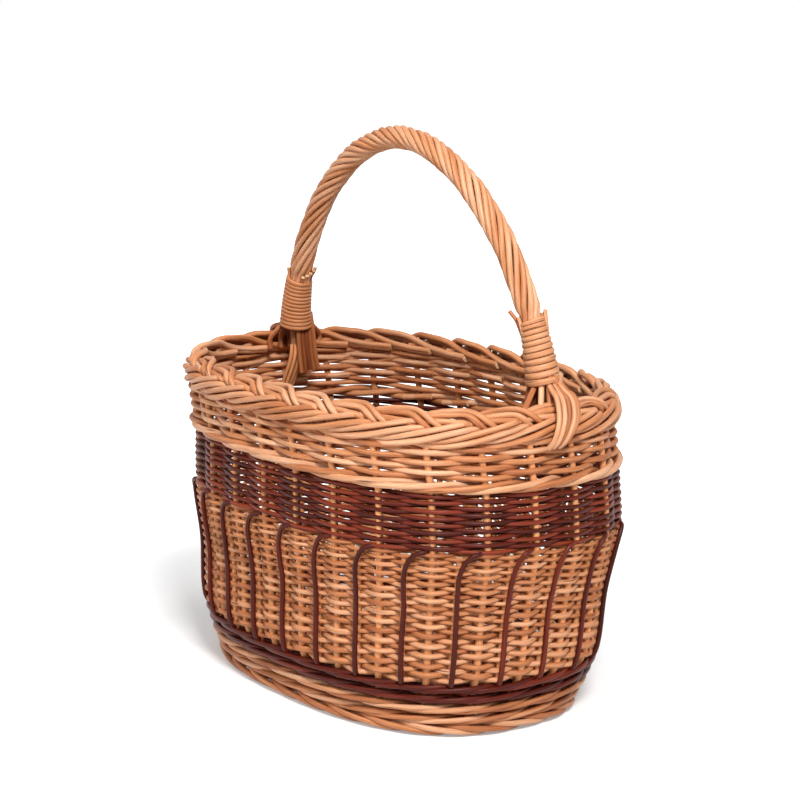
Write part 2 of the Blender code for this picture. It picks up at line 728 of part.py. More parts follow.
def outer_tail_places(side, foot):
    """Path of the outer rods: out of the binding, over the border's crest and down its outside."""
    half = TAIL_THICKNESS / 2
    lift = half + GAP
    crest_share, outer_share, under_share = (BORDER_OUTLINE_SHARES[index] for index in (2, 4, 5))
    crest_x = FOOT_LENGTH / 2 + BORDER_INNER_SPREAD + crest_share[0] * BORDER_DEPTH
    brow_x = FOOT_LENGTH / 2 + BORDER_INNER_SPREAD + BORDER_OUTLINE_SHARES[3][0] * BORDER_DEPTH
    brow_z = BORDER_LEVEL + BORDER_OUTLINE_SHARES[3][1] * BORDER_HEIGHT
    outer_x = FOOT_LENGTH / 2 + BORDER_OUTER_SPREAD + lift
    outer_z = BORDER_LEVEL + outer_share[1] * BORDER_HEIGHT
    under_z = BORDER_LEVEL + under_share[1] * BORDER_HEIGHT
    end_z = BORDER_LEVEL - OUTER_TAIL_DROP
    wall_x = FOOT_LENGTH / 2 + wall_spread(end_z) + lift
    start_x = HANDLE_HALF_SPAN + CORE_DIAMETER / 2 + GAP + lift
    crest_z = BORDER_LEVEL + crest_share[1] * BORDER_HEIGHT + lift
    route = (
        (start_x, foot.z),
        ((start_x + crest_x) / 2, (foot.z + crest_z) / 2),
        (crest_x + half, crest_z + GAP),
        (brow_x + lift, brow_z + lift + GAP),
        (outer_x - GAP, outer_z + TAIL_THICKNESS),
        (outer_x + GAP, outer_z),
        (outer_x, under_z),
        (wall_x + GAP, end_z),
    )
    return [Vector((side * x, HANDLE_SIDE_STEP, z)) for x, z in route]


def inner_tail_places(side, foot):
    """Path of the inner rods: straight down inside the wall, drifting a little to one side."""
    x = abs(foot.x) - CORE_DIAMETER / 2 - 2 * GAP - TAIL_THICKNESS / 2
    places = []
    for share in (0, 1 / 2, 1):
        y = HANDLE_SIDE_STEP + share * INNER_TAIL_DRIFT
        places.append(Vector((side * x, y, foot.z - share * INNER_TAIL_LENGTH)))
    return places


def add_tails(buff, brown, collection):
    """The groups of rods that leave each binding, outside over the border and inside down the wall."""
    stations = rope_stations()
    for name, side, end, beside in (("left", -1, 0, 1), ("right", 1, -1, -2)):
        foot = under_rope_end(stations[end], stations[beside])
        outer = outer_tail_places(side, foot)
        narrowing = OUTER_TAIL_TOP_WIDTH - OUTER_TAIL_END_WIDTH
        last = len(outer) - 1
        widths = [OUTER_TAIL_TOP_WIDTH - narrowing * index / last for index in range(len(outer))]
        add_strap(f"outer_tail_{name}", outer, widths, buff, collection)
        inner = inner_tail_places(side, foot)
        add_strap(f"inner_tail_{name}", inner, [INNER_TAIL_WIDTH] * len(inner), brown, collection)


def clear_scene():
    """Remove whatever the scene holds."""
    for piece in list(bpy.data.objects):
        bpy.data.objects.remove(piece)


def add_collection(name):
    """A new collection in the scene."""
    collection = bpy.data.collections.new(name)
    bpy.context.scene.collection.children.link(collection)
    return collection


def main():
    """Build the whole basket."""
    clear_scene()
    collection = add_collection("foraging_basket")
    cutters = add_collection("cutters")
    buff, dark, brown, wood = buff_willow(), dark_willow(), brown_willow(), peeled_core()
    add_bands(buff, dark, collection)
    add_stakes(brown, collection, cutters)
    add_ribs(dark, collection)
    add_base(buff, wood, collection, cutters)
    add_handle_core(wood, collection)
    add_handle_rope(buff, collection, cutters)
    add_bindings(buff, collection)
    add_tails(buff, brown, collection)


main()
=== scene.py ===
"""Foraging basket of woven willow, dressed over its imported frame.

The script is laid out as an add-on: the sizes and colours are properties, each piece has its
operator, and a panel in the sidebar lists them. It is run as a script and builds every piece in order.
"""

import math

import bpy
import numpy as np
from mathutils import Matrix, Vector


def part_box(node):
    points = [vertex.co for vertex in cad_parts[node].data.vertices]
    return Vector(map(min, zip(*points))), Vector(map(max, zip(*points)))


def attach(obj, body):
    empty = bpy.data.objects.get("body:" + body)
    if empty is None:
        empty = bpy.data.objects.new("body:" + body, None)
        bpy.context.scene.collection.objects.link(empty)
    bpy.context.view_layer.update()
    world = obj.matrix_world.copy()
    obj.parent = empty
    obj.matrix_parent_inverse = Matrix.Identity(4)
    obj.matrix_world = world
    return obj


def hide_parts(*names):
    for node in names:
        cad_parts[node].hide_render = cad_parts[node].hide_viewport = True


bl_info = {
    "name": "Foraging Basket",
    "version": (1, 0, 0),
    "blender": (4, 5, 0),
    "location": "View3D > Sidebar > Basket",
    "description": "Weaves an oval willow basket with a roped bow handle over its frame",
    "category": "Add Mesh",
}

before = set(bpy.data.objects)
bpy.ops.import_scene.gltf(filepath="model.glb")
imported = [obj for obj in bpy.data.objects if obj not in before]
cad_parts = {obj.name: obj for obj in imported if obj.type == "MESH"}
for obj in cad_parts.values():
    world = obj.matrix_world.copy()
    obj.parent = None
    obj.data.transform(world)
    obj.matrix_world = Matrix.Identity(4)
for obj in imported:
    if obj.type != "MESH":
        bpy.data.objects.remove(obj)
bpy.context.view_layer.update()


def level_of(node):
    """Height at which a node of the frame starts."""
    return float(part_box(node)[0].z)


def length_size(name, description, default):
    """A length that the user may change, in metres."""
    return bpy.props.FloatProperty(name=name, description=description, default=default, unit="LENGTH",
                                   precision=4, step=0.1)


def count_size(name, description, default):
    """A whole number of rods, rows or turns."""
    return bpy.props.IntProperty(name=name, description=description, default=default, min=1)


def share_size(name, description, default):
    """A plain number without a unit."""
    return bpy.props.FloatProperty(name=name, description=description, default=default, precision=3)


def finish_colour(name, description, default):
    """A colour that the user may change."""
    return bpy.props.FloatVectorProperty(name=name, description=description, default=default, size=3,
                                         subtype="COLOR", min=0, max=1)


def painted(red, green, blue):
    """A display colour of 0 to 255 as the linear colour that materials take."""
    def linear(value):
        value /= 255
        return value / 12.92 if value <= 0.04045 else ((value + 0.055) / 1.055) ** 2.4
    return (linear(red), linear(green), linear(blue))


class BASKET_PG_sizes(bpy.types.PropertyGroup):
    """Sizes of the basket's pieces."""
    foot_length: length_size("Foot length", "Length of the wall's outline on the floor", 0.3292)
    foot_width: length_size("Foot width", "Width of the wall's outline on the floor", 0.2240)
    squareness: share_size("Squareness", "How square the oval's shoulders are", 2.53)
    spread_wale: length_size("Spread at the dark wale", "How far the wall has flared there", 0.0193)
    spread_waist: length_size("Spread at the waist", "How far the wall has flared there", 0.0247)
    spread_belly: length_size("Spread at the belly", "How far the wall has flared there", 0.0326)
    spread_shoulder: length_size("Spread at the shoulder", "How far the wall has flared there", 0.0317)
    spread_neck: length_size("Spread at the neck", "How far the wall has flared there", 0.0320)
    foot_wale_level: length_size("Foot wale level", "Height where it starts", level_of("foot_wale"))
    dark_wale_level: length_size("Dark wale level", "Height where it starts", level_of("dark_lower_wale"))
    lower_level: length_size("Lower weave level", "Height where it starts", level_of("lower_weave"))
    band_level: length_size("Dark band level", "Height where it starts", level_of("dark_band"))
    mid_level: length_size("Middle wale level", "Height where it starts", level_of("mid_wale"))
    upper_level: length_size("Upper weave level", "Height where it starts", level_of("upper_weave"))
    border_level: length_size("Border level", "Height where it starts", level_of("plaited_border"))
    border_top: length_size("Border top", "Height of its crest", float(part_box("plaited_border")[1].z))
    waist_level: length_size("Waist level", "Height half way up the lower weave", 0.1050)
    lean: length_size("Lean", "How far the rim stands to one side, as woven by hand", 0.0060)
    stakes: count_size("Stakes", "Upright stakes round the wall", 26)
    stake_diameter: length_size("Stake diameter", "Thickness of a light stake", 0.0062)
    stake_depth: length_size("Stake depth", "How far inside the outline the stakes stand", 0.0047)
    rib_diameter: length_size("Rib diameter", "Thickness of a dark rib", 0.0043)
    rib_bend: length_size("Rib bend", "How far a rib's top runs sideways", 0.0230)
    lower_rows: count_size("Lower rows", "Rows of the lower weave", 30)
    band_rows: count_size("Dark rows", "Rows of the dark band", 16)
    upper_rows: count_size("Upper rows", "Rows of the upper weave", 7)
    dark_rod: length_size("Dark rod", "Thickness of the rods of the dark band", 0.0035)
    upper_rod: length_size("Upper rod", "Thickness of the rods of the upper weave", 0.0045)
    foot_rod: length_size("Foot rod", "Thickness of the rods of the foot", 0.0047)
    dark_wale_rod: length_size("Dark wale rod", "Thickness of the rods of the dark wale", 0.0044)
    mid_rod: length_size("Middle wale rod", "Thickness of the rods of the middle wale", 0.0052)
    border_rod: length_size("Border rod", "Thickness of the rods of the plait", 0.0050)
    border_gap: length_size("Border gap", "Distance between the middles of rods laid side by side", 0.0048)
    base_rod: length_size("Base rod", "Thickness of the rods of the base", 0.0040)
    crest_spread: length_size("Crest spread", "Spread of the plait's crest", 0.0175)
    handle_rise: length_size("Handle rise", "Height of the bow's crown above its feet", 0.2020)
    handle_roundness: share_size("Handle roundness", "Roundness of the arch", 1.87)
    handle_half_span: length_size("Handle half span", "Half the distance between the bow's feet", 0.1667)
    handle_foot: length_size("Handle foot", "Height of the bow's feet", 0.2531)
    handle_step: length_size("Handle step", "How far the bow's feet stand to one side", 0.0098)
    handle_lean: length_size("Handle lean", "How far the crown leans to the other side", 0.0180)
    handle_rods: count_size("Handle rods", "Rods roped round the core", 9)
    handle_rod: length_size("Handle rod", "Thickness of a roped rod", 0.0047)
    handle_lay: length_size("Handle lay", "Length of one full twist of the roping at the crown", 0.0780)
    left_start: length_size("Left binding start", "Distance up the bow", 0.0180)
    left_turns: count_size("Left turns", "Turns of the left binding", 13)
    left_pitch: length_size("Left pitch", "Distance between turns", 0.0035)
    left_skein: length_size("Left skein", "Thickness of its skein", 0.0032)
    right_start: length_size("Right binding start", "Distance up the bow", 0.0220)
    right_turns: count_size("Right turns", "Turns of the right binding", 11)
    right_pitch: length_size("Right pitch", "Distance between turns", 0.0046)
    right_skein: length_size("Right skein", "Thickness of its skein", 0.0034)


class BASKET_PG_colours(bpy.types.PropertyGroup):
    """Colours of the willow and of the stage."""
    buff_dark: finish_colour("Buff, dark", "Darkest of the boiled and stripped rods", painted(132, 60, 22))
    buff: finish_colour("Buff", "Middle of the boiled and stripped rods", painted(198, 130, 84))
    buff_light: finish_colour("Buff, light", "Palest of the boiled and stripped rods", painted(236, 187, 150))
    dark_deep: finish_colour("Dark, deep", "Darkest of the rods with their bark on", painted(40, 9, 4))
    dark: finish_colour("Dark", "Middle of the rods with their bark on", painted(88, 26, 13))
    dark_light: finish_colour("Dark, light", "Palest of the rods with their bark on", painted(142, 60, 36))
    brown: finish_colour("Brown", "Stakes and rods inside the wall", painted(218, 150, 100))
    peeled: finish_colour("Peeled", "Base sticks and the bow's core", painted(214, 168, 122))
    cut: finish_colour("Cut ends", "Pale pith of the cut rods", painted(224, 186, 140))
    floor: finish_colour("Floor", "Floor under the basket", (0.86, 0.86, 0.86))


def sizes():
    """The sizes that the panel holds."""
    return bpy.context.scene.basket_sizes


def colours():
    """The colours that the panel holds."""
    return bpy.context.scene.basket_colours


# Shape of the wall

def signed_power(values, power):
    """A power that keeps the sign."""
    return np.sign(values) * np.abs(values) ** power


class Wall:
    """The oval wall's outline at every height, worked out once from the sizes."""

    def __init__(self, size):
        self.length = size.foot_length
        self.width = size.foot_width
        self.power = 2 / size.squareness
        self.stakes = size.stakes
        self.heights = np.array((0, size.lower_level, size.waist_level, size.band_level, size.mid_level,
                                 size.border_level))
        self.spreads = np.array((0, size.spread_wale, size.spread_waist, size.spread_belly, size.spread_shoulder,
                                 size.spread_neck))
        self.leans = size.lean * np.array((0, -0.22, -0.38, -0.47, 0, 0.95))
        slopes = np.diff(self.spreads) / np.diff(self.heights)
        steps = np.diff(self.heights)
        inner = (slopes[:-1] * steps[1:] + slopes[1:] * steps[:-1]) / (steps[1:] + steps[:-1])
        self.tangents = np.concatenate(([slopes[0]], inner, [slopes[-1]]))
        angles = np.linspace(0, 2 * math.pi, 2881)
        outline = self.oval(angles, np.full(2881, size.spread_belly))
        reached = np.concatenate(([0], np.cumsum(np.linalg.norm(np.diff(outline, axis=0), axis=1))))
        self.girth = float(reached[-1])
        self.shares = reached / self.girth
        self.angles = angles

    def oval(self, angles, spreads):
        """Points of the oval that is wider by a spread all round."""
        x = signed_power(np.cos(angles), self.power) * (self.length / 2 + spreads)
        y = signed_power(np.sin(angles), self.power) * (self.width / 2 + spreads)
        return np.stack((x, y), axis=-1)

    def spread(self, heights):
        """How far the wall has flared at each height."""
        heights = np.clip(heights, self.heights[0], self.heights[-1])
        index = np.clip(np.searchsorted(self.heights, heights) - 1, 0, len(self.heights) - 2)
        step = self.heights[index + 1] - self.heights[index]
        t = (heights - self.heights[index]) / step
        first = (2 * t ** 3 - 3 * t * t + 1) * self.spreads[index]
        first += (t ** 3 - 2 * t * t + t) * step * self.tangents[index]
        last = (3 * t * t - 2 * t ** 3) * self.spreads[index + 1]
        last += (t ** 3 - t * t) * step * self.tangents[index + 1]
        return first + last

    def ring(self, turns, spreads, heights):
        """Points at shares of a turn, each with its own spread and height."""
        turns, spreads, heights = np.broadcast_arrays(turns, spreads, heights)
        angles = np.interp(turns % 1, self.shares, self.angles)
        flat = self.oval(angles, spreads)
        lean = np.interp(heights, self.heights, self.leans)
        return np.column_stack((flat[:, 0] - lean * 0.62, flat[:, 1] - lean * 0.78, heights))

    def point(self, turns, heights, depths):
        """Points of the wall at depths inside its outline."""
        turns, heights, depths = np.broadcast_arrays(turns, heights, depths)
        return self.ring(turns, self.spread(heights) - depths, heights)


def smooth_wave(knots, values, period, softness):
    """A repeating line through knots, with its corners rounded."""
    count = 720
    grid = np.arange(count) * period / count
    table = np.interp(grid, knots, values, period=period)
    away = np.minimum(grid, period - grid)
    kernel = np.exp(-0.5 * (away / softness) ** 2)
    table = np.real(np.fft.ifft(np.fft.fft(table) * np.fft.fft(kernel / kernel.sum())))
    grid, table = np.append(grid, period), np.append(table, table[0])
    return lambda phase: np.interp(np.asarray(phase) % period, grid, table)


def smooth_path(places, count):
    """A smooth line through a few places, as evenly spaced points."""
    places = np.array([tuple(place) for place in places], float)
    padded = np.vstack((2 * places[0] - places[1], places, 2 * places[-1] - places[-2]))
    runs = []
    for index in range(1, len(padded) - 2):
        p0, p1, p2, p3 = padded[index - 1:index + 3]
        t = np.linspace(0, 1, 24, endpoint=False)[:, None]
        runs.append(0.5 * (2 * p1 + (p2 - p0) * t + (2 * p0 - 5 * p1 + 4 * p2 - p3) * t ** 2
                           + (3 * p1 - p0 - 3 * p2 + p3) * t ** 3))
    line = np.vstack(runs + [places[-1:]])
    reached = np.concatenate(([0], np.cumsum(np.linalg.norm(np.diff(line, axis=0), axis=1))))
    marks = np.linspace(0, reached[-1], count)
    return np.column_stack([np.interp(marks, reached, line[:, axis]) for axis in range(3)])


class RodBundle:
    """Centre lines of many rods, each with its thickness, its length so far and its own tint."""

    def __init__(self, seed):
        self.random = np.random.default_rng(seed)
        self.points, self.edges, self.radii, self.lengths, self.tints, self.facings = [], [], [], [], [], []
        self.count = 0

    def add(self, places, radius, tint=None, facing=(0, 0, 1)):
        """One rod along a line of points."""
        places = np.asarray(places, float)
        total = len(places)
        steps = np.linalg.norm(np.diff(places, axis=0), axis=1)
        reached = np.concatenate(([0], np.cumsum(steps))) + self.random.random() * 4
        index = np.arange(self.count, self.count + total)
        self.points.append(places)
        self.edges.append(np.column_stack((index[:-1], index[1:])))
        self.radii.append(np.broadcast_to(radius, total))
        self.lengths.append(reached)
        self.tints.append(np.full(total, self.random.random() if tint is None else tint))
        self.facings.append(np.broadcast_to(np.asarray(facing, float), (total, 3)))
        self.count += total

    def mesh(self, name):
        """The lines as a mesh of edges that carries the rods' values."""
        points, edges = np.vstack(self.points), np.vstack(self.edges)
        mesh = bpy.data.meshes.new(name)
        mesh.vertices.add(len(points))
        mesh.vertices.foreach_set("co", points.astype(np.float32).ravel())
        mesh.edges.add(len(edges))
        mesh.edges.foreach_set("vertices", edges.astype(np.int32).ravel())
        values = (("rod_radius", self.radii), ("along", self.lengths), ("tint", self.tints))
        for label, parts in values:
            layer = mesh.attributes.new(label, "FLOAT", "POINT")
            layer.data.foreach_set("value", np.concatenate(parts).astype(np.float32))
        layer = mesh.attributes.new("facing", "FLOAT_VECTOR", "POINT")
        layer.data.foreach_set("vector", np.vstack(self.facings).astype(np.float32).ravel())
        mesh.update()
        return mesh


# The node tree that turns centre lines into rods

def add_node(tree, kind, values=None, **settings):
    """A node with its settings, and its inputs set to values or linked to sockets."""
    node = tree.nodes.new(kind)
    for label, value in settings.items():
        setattr(node, label, value)
    for label, value in (values or {}).items():
        socket = node.inputs[label]
        if isinstance(value, bpy.types.NodeSocket):
            tree.links.new(value, socket)
        else:
            socket.default_value = value
    return node


def math_node(tree, operation, first, second=None, third=None, clamp=False):
    """The output of a math node."""
    values = {index: value for index, value in enumerate((first, second, third)) if value is not None}
    node = add_node(tree, "ShaderNodeMath", values, operation=operation)
    node.use_clamp = clamp
    return node.outputs[0]


def rod_tree(name, faced):
    """Sweeps a round or flattened section along centre lines, with cut ends, as one mesh."""
    tree = bpy.data.node_groups.new(name, "GeometryNodeTree")
    face = tree.interface
    face.new_socket("Geometry", in_out="INPUT", socket_type="NodeSocketGeometry")
    inputs = (("Sides", "NodeSocketInt", 8), ("Thickness", "NodeSocketFloat", 1.0),
              ("Flatness", "NodeSocketFloat", 1.0), ("Unevenness", "NodeSocketFloat", 0.05),
              ("Swelling spacing", "NodeSocketFloat", 0.06), ("Seed", "NodeSocketInt", 7),
              ("Willow", "NodeSocketMaterial", None), ("Cut end", "NodeSocketMaterial", None))
    for label, kind, default in inputs:
        socket = face.new_socket(label, in_out="INPUT", socket_type=kind)
        if default is not None:
            socket.default_value = default
    face.new_socket("Geometry", in_out="OUTPUT", socket_type="NodeSocketGeometry")
    given = tree.nodes.new("NodeGroupInput").outputs
    lines = add_node(tree, "GeometryNodeMeshToCurve", {"Mesh": given["Geometry"]}).outputs[0]
    if faced:
        facing = add_node(tree, "GeometryNodeInputNamedAttribute", {"Name": "facing"}, data_type="FLOAT_VECTOR")
        lines = add_node(tree, "GeometryNodeSetCurveNormal", {"Curve": lines, "Normal": facing.outputs[0]},
                         mode="FREE").outputs[0]
    radius = add_node(tree, "GeometryNodeInputNamedAttribute", {"Name": "rod_radius"}, data_type="FLOAT").outputs[0]
    along = add_node(tree, "GeometryNodeInputNamedAttribute", {"Name": "along"}, data_type="FLOAT").outputs[0]
    place = math_node(tree, "DIVIDE", along, given["Swelling spacing"])
    place = math_node(tree, "ADD", place, math_node(tree, "MULTIPLY", given["Seed"], 13.7))
    noise = add_node(tree, "ShaderNodeTexNoise", {"W": place, "Scale": 1.0, "Detail": 2.0}, noise_dimensions="1D")
    swell = math_node(tree, "MULTIPLY", math_node(tree, "SUBTRACT", noise.outputs[0], 0.5), given["Unevenness"])
    swell = math_node(tree, "MULTIPLY_ADD", swell, 2.0, 1.0)
    scale = math_node(tree, "MULTIPLY", math_node(tree, "MULTIPLY", radius, swell), given["Thickness"])
    circle = add_node(tree, "GeometryNodeCurvePrimitiveCircle", {"Resolution": given["Sides"], "Radius": 1.0},
                      mode="RADIUS").outputs[0]
    place = tree.nodes.new("GeometryNodeInputPosition").outputs[0]
    circle = add_node(tree, "GeometryNodeStoreNamedAttribute", {"Geometry": circle, "Name": "ring", "Value": place},
                      data_type="FLOAT_VECTOR", domain="POINT").outputs[0]
    flat = add_node(tree, "ShaderNodeCombineXYZ", {"X": given["Flatness"], "Y": 1.0, "Z": 1.0}).outputs[0]
    circle = add_node(tree, "GeometryNodeTransform", {"Geometry": circle, "Scale": flat}).outputs[0]
    rods = add_node(tree, "GeometryNodeCurveToMesh",
                    {"Curve": lines, "Profile Curve": circle, "Scale": scale, "Fill Caps": True}).outputs[0]
    corners = tree.nodes.new("GeometryNodeInputMeshFaceNeighbors").outputs["Vertex Count"]
    ends = add_node(tree, "FunctionNodeCompare", {2: corners, 3: 4}, data_type="INT", operation="GREATER_THAN")
    ends = ends.outputs[0]
    rods = add_node(tree, "GeometryNodeSetShadeSmooth", {"Geometry": rods, "Shade Smooth": True}).outputs[0]
    rods = add_node(tree, "GeometryNodeSetShadeSmooth",
                    {"Geometry": rods, "Selection": ends, "Shade Smooth": False}).outputs[0]
    rods = add_node(tree, "GeometryNodeRealizeInstances", {"Geometry": rods}).outputs[0]
    rods = add_node(tree, "GeometryNodeSetMaterial", {"Geometry": rods, "Material": given["Willow"]}).outputs[0]
    rods = add_node(tree, "GeometryNodeSetMaterial",
                    {"Geometry": rods, "Selection": ends, "Material": given["Cut end"]}).outputs[0]
    result = tree.nodes.new("NodeGroupOutput")
    tree.links.new(rods, result.inputs[0])
    return tree


def socket_key(tree, label):
    """Identifier of a named input of a node tree."""
    for item in tree.interface.items_tree:
        if item.item_type == "SOCKET" and item.in_out == "INPUT" and item.name == label:
            return item.identifier
    raise KeyError(label)


def make_rods(name, bundle, willow, nodes=(), sides=8, flatness=1.0, unevenness=0.05, faced=False):
    """A piece of rods from their centre lines, which rides on the basket and stands for its nodes."""
    label = "Flat skeins" if faced else "Round rods"
    tree = bpy.data.node_groups.get(label) or rod_tree(label, faced)
    piece = bpy.data.objects.new(name, bundle.mesh(name + "_lines"))
    bpy.context.scene.collection.objects.link(piece)
    modifier = piece.modifiers.new("Rods", "NODES")
    modifier.node_group = tree
    values = (("Sides", sides), ("Flatness", flatness), ("Unevenness", unevenness),
              ("Willow", bpy.data.materials[willow]), ("Cut end", bpy.data.materials["cut_willow"]))
    for key, value in values:
        modifier[socket_key(tree, key)] = value
    depsgraph = bpy.context.evaluated_depsgraph_get()
    lines = piece.data
    mesh = bpy.data.meshes.new_from_object(piece.evaluated_get(depsgraph), preserve_all_data_layers=True,
                                           depsgraph=depsgraph)
    piece.modifiers.clear()
    piece.data = mesh
    mesh.name = name
    bpy.data.meshes.remove(lines)
    for label in ("rod_radius", "facing"):
        if label in mesh.attributes:
            mesh.attributes.remove(mesh.attributes[label])
    if not mesh.polygons:
        raise RuntimeError(name + " came out empty")
    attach(piece, "root")
    if nodes:
        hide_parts(*nodes)
    return piece


# Willow and its finishes

def ramp(tree, factor, stops):
    """A colour ramp with stops of (place, colour)."""
    node = add_node(tree, "ShaderNodeValToRGB", {"Fac": factor})
    elements = node.color_ramp.elements
    while len(elements) < len(stops):
        elements.new(0.5)
    for element, (place, colour) in zip(elements, stops):
        element.position = place
        element.color = (*colour, 1)
    return node.outputs["Color"]


def blend_colours(tree, mode, factor, first, second):
    """One colour laid over another."""
    node = tree.nodes.new("ShaderNodeMix")
    node.data_type, node.blend_type = "RGBA", mode
    for index, value in ((0, factor), (6, first), (7, second)):
        if isinstance(value, bpy.types.NodeSocket):
            tree.links.new(value, node.inputs[index])
        else:
            node.inputs[index].default_value = value
    return node.outputs[2]


def new_material(name):
    """An empty material and its node tree."""
    if name in bpy.data.materials:
        raise RuntimeError(name + " is taken by a finish of the frame")
    material = bpy.data.materials.new(name)
    material.use_nodes = True
    material.node_tree.nodes.clear()
    return material, material.node_tree


def rod_grain(tree):
    """Values that follow a rod: its tint, long streaks, fine fibres, blotches and knots."""
    along = add_node(tree, "ShaderNodeAttribute", attribute_name="along").outputs["Fac"]
    tint = add_node(tree, "ShaderNodeAttribute", attribute_name="tint").outputs["Fac"]
    ring = add_node(tree, "ShaderNodeAttribute", attribute_name="ring").outputs["Vector"]
    around = add_node(tree, "ShaderNodeSeparateXYZ", {0: ring}).outputs
    shift = math_node(tree, "MULTIPLY", tint, 57.0)

    def along_rod(frequency, width):
        run = math_node(tree, "MULTIPLY_ADD", along, frequency, shift)
        across = math_node(tree, "MULTIPLY", around[0], width)
        up = math_node(tree, "MULTIPLY", around[1], width)
        return add_node(tree, "ShaderNodeCombineXYZ", {0: run, 1: across, 2: up}).outputs[0]

    streaks = add_node(tree, "ShaderNodeTexNoise", {"Vector": along_rod(26.0, 1.3), "Scale": 1.0, "Detail": 3.0})
    fibres = add_node(tree, "ShaderNodeTexNoise", {"Vector": along_rod(90.0, 5.5), "Scale": 1.0, "Detail": 2.0})
    knots = add_node(tree, "ShaderNodeTexVoronoi", {"Vector": along_rod(15.0, 0.55), "Scale": 1.0})
    knot = add_node(tree, "ShaderNodeMapRange",
                    {"Value": knots.outputs["Distance"], "From Min": 0.05, "From Max": 0.15, "To Min": 1.0,
                     "To Max": 0.0})
    own = add_node(tree, "ShaderNodeTexCoord").outputs["Object"]
    blotch = add_node(tree, "ShaderNodeTexNoise", {"Vector": own, "Scale": 24.0, "Detail": 2.0})
    return tint, streaks.outputs["Fac"], fibres.outputs["Fac"], blotch.outputs["Fac"], knot.outputs[0]


def willow_material(name, dark, middle, light, knot_colour, roughness, depth, gloss):
    """Willow whose grain, streaks and knots run along each rod."""
    material, tree = new_material(name)
    tint, streaks, fibres, blotch, knot = rod_grain(tree)
    tone = math_node(tree, "MULTIPLY", tint, 0.42)
    tone = math_node(tree, "MULTIPLY_ADD", streaks, 0.55, tone)
    tone = math_node(tree, "MULTIPLY_ADD", blotch, 0.22, tone)
    tone = math_node(tree, "SUBTRACT", tone, 0.10, clamp=True)
    colour = ramp(tree, tone, ((0.12, dark), (0.45, middle), (0.80, light)))
    # Fibre grain with painted shade: the colour is darkened in the hollows between the fibres, where the bump sinks
    shade = ramp(tree, fibres, ((0.30, (0.70, 0.62, 0.54)), (0.62, (1, 1, 1))))
    colour = blend_colours(tree, "MULTIPLY", 0.7, colour, shade)
    colour = blend_colours(tree, "MIX", knot, colour, (*knot_colour, 1))
    rough = add_node(tree, "ShaderNodeMapRange",
                     {"Value": fibres, "To Min": roughness - 0.08, "To Max": roughness + 0.14}).outputs[0]
    height = math_node(tree, "MULTIPLY_ADD", fibres, 0.6, streaks)
    bump = add_node(tree, "ShaderNodeBump", {"Height": height, "Strength": 0.5, "Distance": depth}).outputs[0]
    shader = add_node(tree, "ShaderNodeBsdfPrincipled", {"Base Color": colour, "Roughness": rough, "Normal": bump})
    shader.inputs["Specular IOR Level"].default_value = gloss
    output = tree.nodes.new("ShaderNodeOutputMaterial")
    tree.links.new(shader.outputs[0], output.inputs["Surface"])
    return material


def cut_material(name, pale, ring_colour):
    """The pale pith of a cut rod, mottled with a darker tone."""
    material, tree = new_material(name)
    own = add_node(tree, "ShaderNodeTexCoord").outputs["Object"]
    noise = add_node(tree, "ShaderNodeTexNoise", {"Vector": own, "Scale": 900.0, "Detail": 2.0}).outputs["Fac"]
    colour = ramp(tree, noise, ((0.3, ring_colour), (0.6, pale)))
    bump = add_node(tree, "ShaderNodeBump", {"Height": noise, "Strength": 0.4, "Distance": 0.0003}).outputs[0]
    shader = add_node(tree, "ShaderNodeBsdfPrincipled", {"Base Color": colour, "Roughness": 0.8, "Normal": bump})
    output = tree.nodes.new("ShaderNodeOutputMaterial")
    tree.links.new(shader.outputs[0], output.inputs["Surface"])
    return material


def stick_material(name, pale, deep):
    """Peeled sticks, with a fine grain over a broad one."""
    material, tree = new_material(name)
    own = add_node(tree, "ShaderNodeTexCoord").outputs["Object"]
    grain = add_node(tree, "ShaderNodeTexNoise", {"Vector": own, "Scale": 160.0, "Detail": 4.0}).outputs["Fac"]
    broad = add_node(tree, "ShaderNodeTexNoise", {"Vector": own, "Scale": 30.0, "Detail": 2.0}).outputs["Fac"]
    tone = math_node(tree, "MULTIPLY_ADD", grain, 0.5, math_node(tree, "MULTIPLY", broad, 0.5))
    colour = ramp(tree, tone, ((0.35, deep), (0.65, pale)))
    bump = add_node(tree, "ShaderNodeBump", {"Height": grain, "Strength": 0.4, "Distance": 0.0004}).outputs[0]
    shader = add_node(tree, "ShaderNodeBsdfPrincipled", {"Base Color": colour, "Roughness": 0.62, "Normal": bump})
    output = tree.nodes.new("ShaderNodeOutputMaterial")
    tree.links.new(shader.outputs[0], output.inputs["Surface"])
    return material


def scaled(colour, factor):
    """A colour made darker or paler."""
    return tuple(min(channel * factor, 1) for channel in colour)


# Ways of weaving

def wobble(bundle, turns, reach):
    """A slow, small wander, so that rows don't run dead level."""
    waves = bundle.random.random(4) * 2 * math.pi
    slow = np.sin(2 * math.pi * turns * 2 + waves[0]) + 0.7 * np.sin(2 * math.pi * turns * 5 + waves[1])
    quick = 0.45 * np.sin(2 * math.pi * turns * 11 + waves[2]) + 0.3 * np.sin(2 * math.pi * turns * 17 + waves[3])
    return (slow + quick) * reach / 2


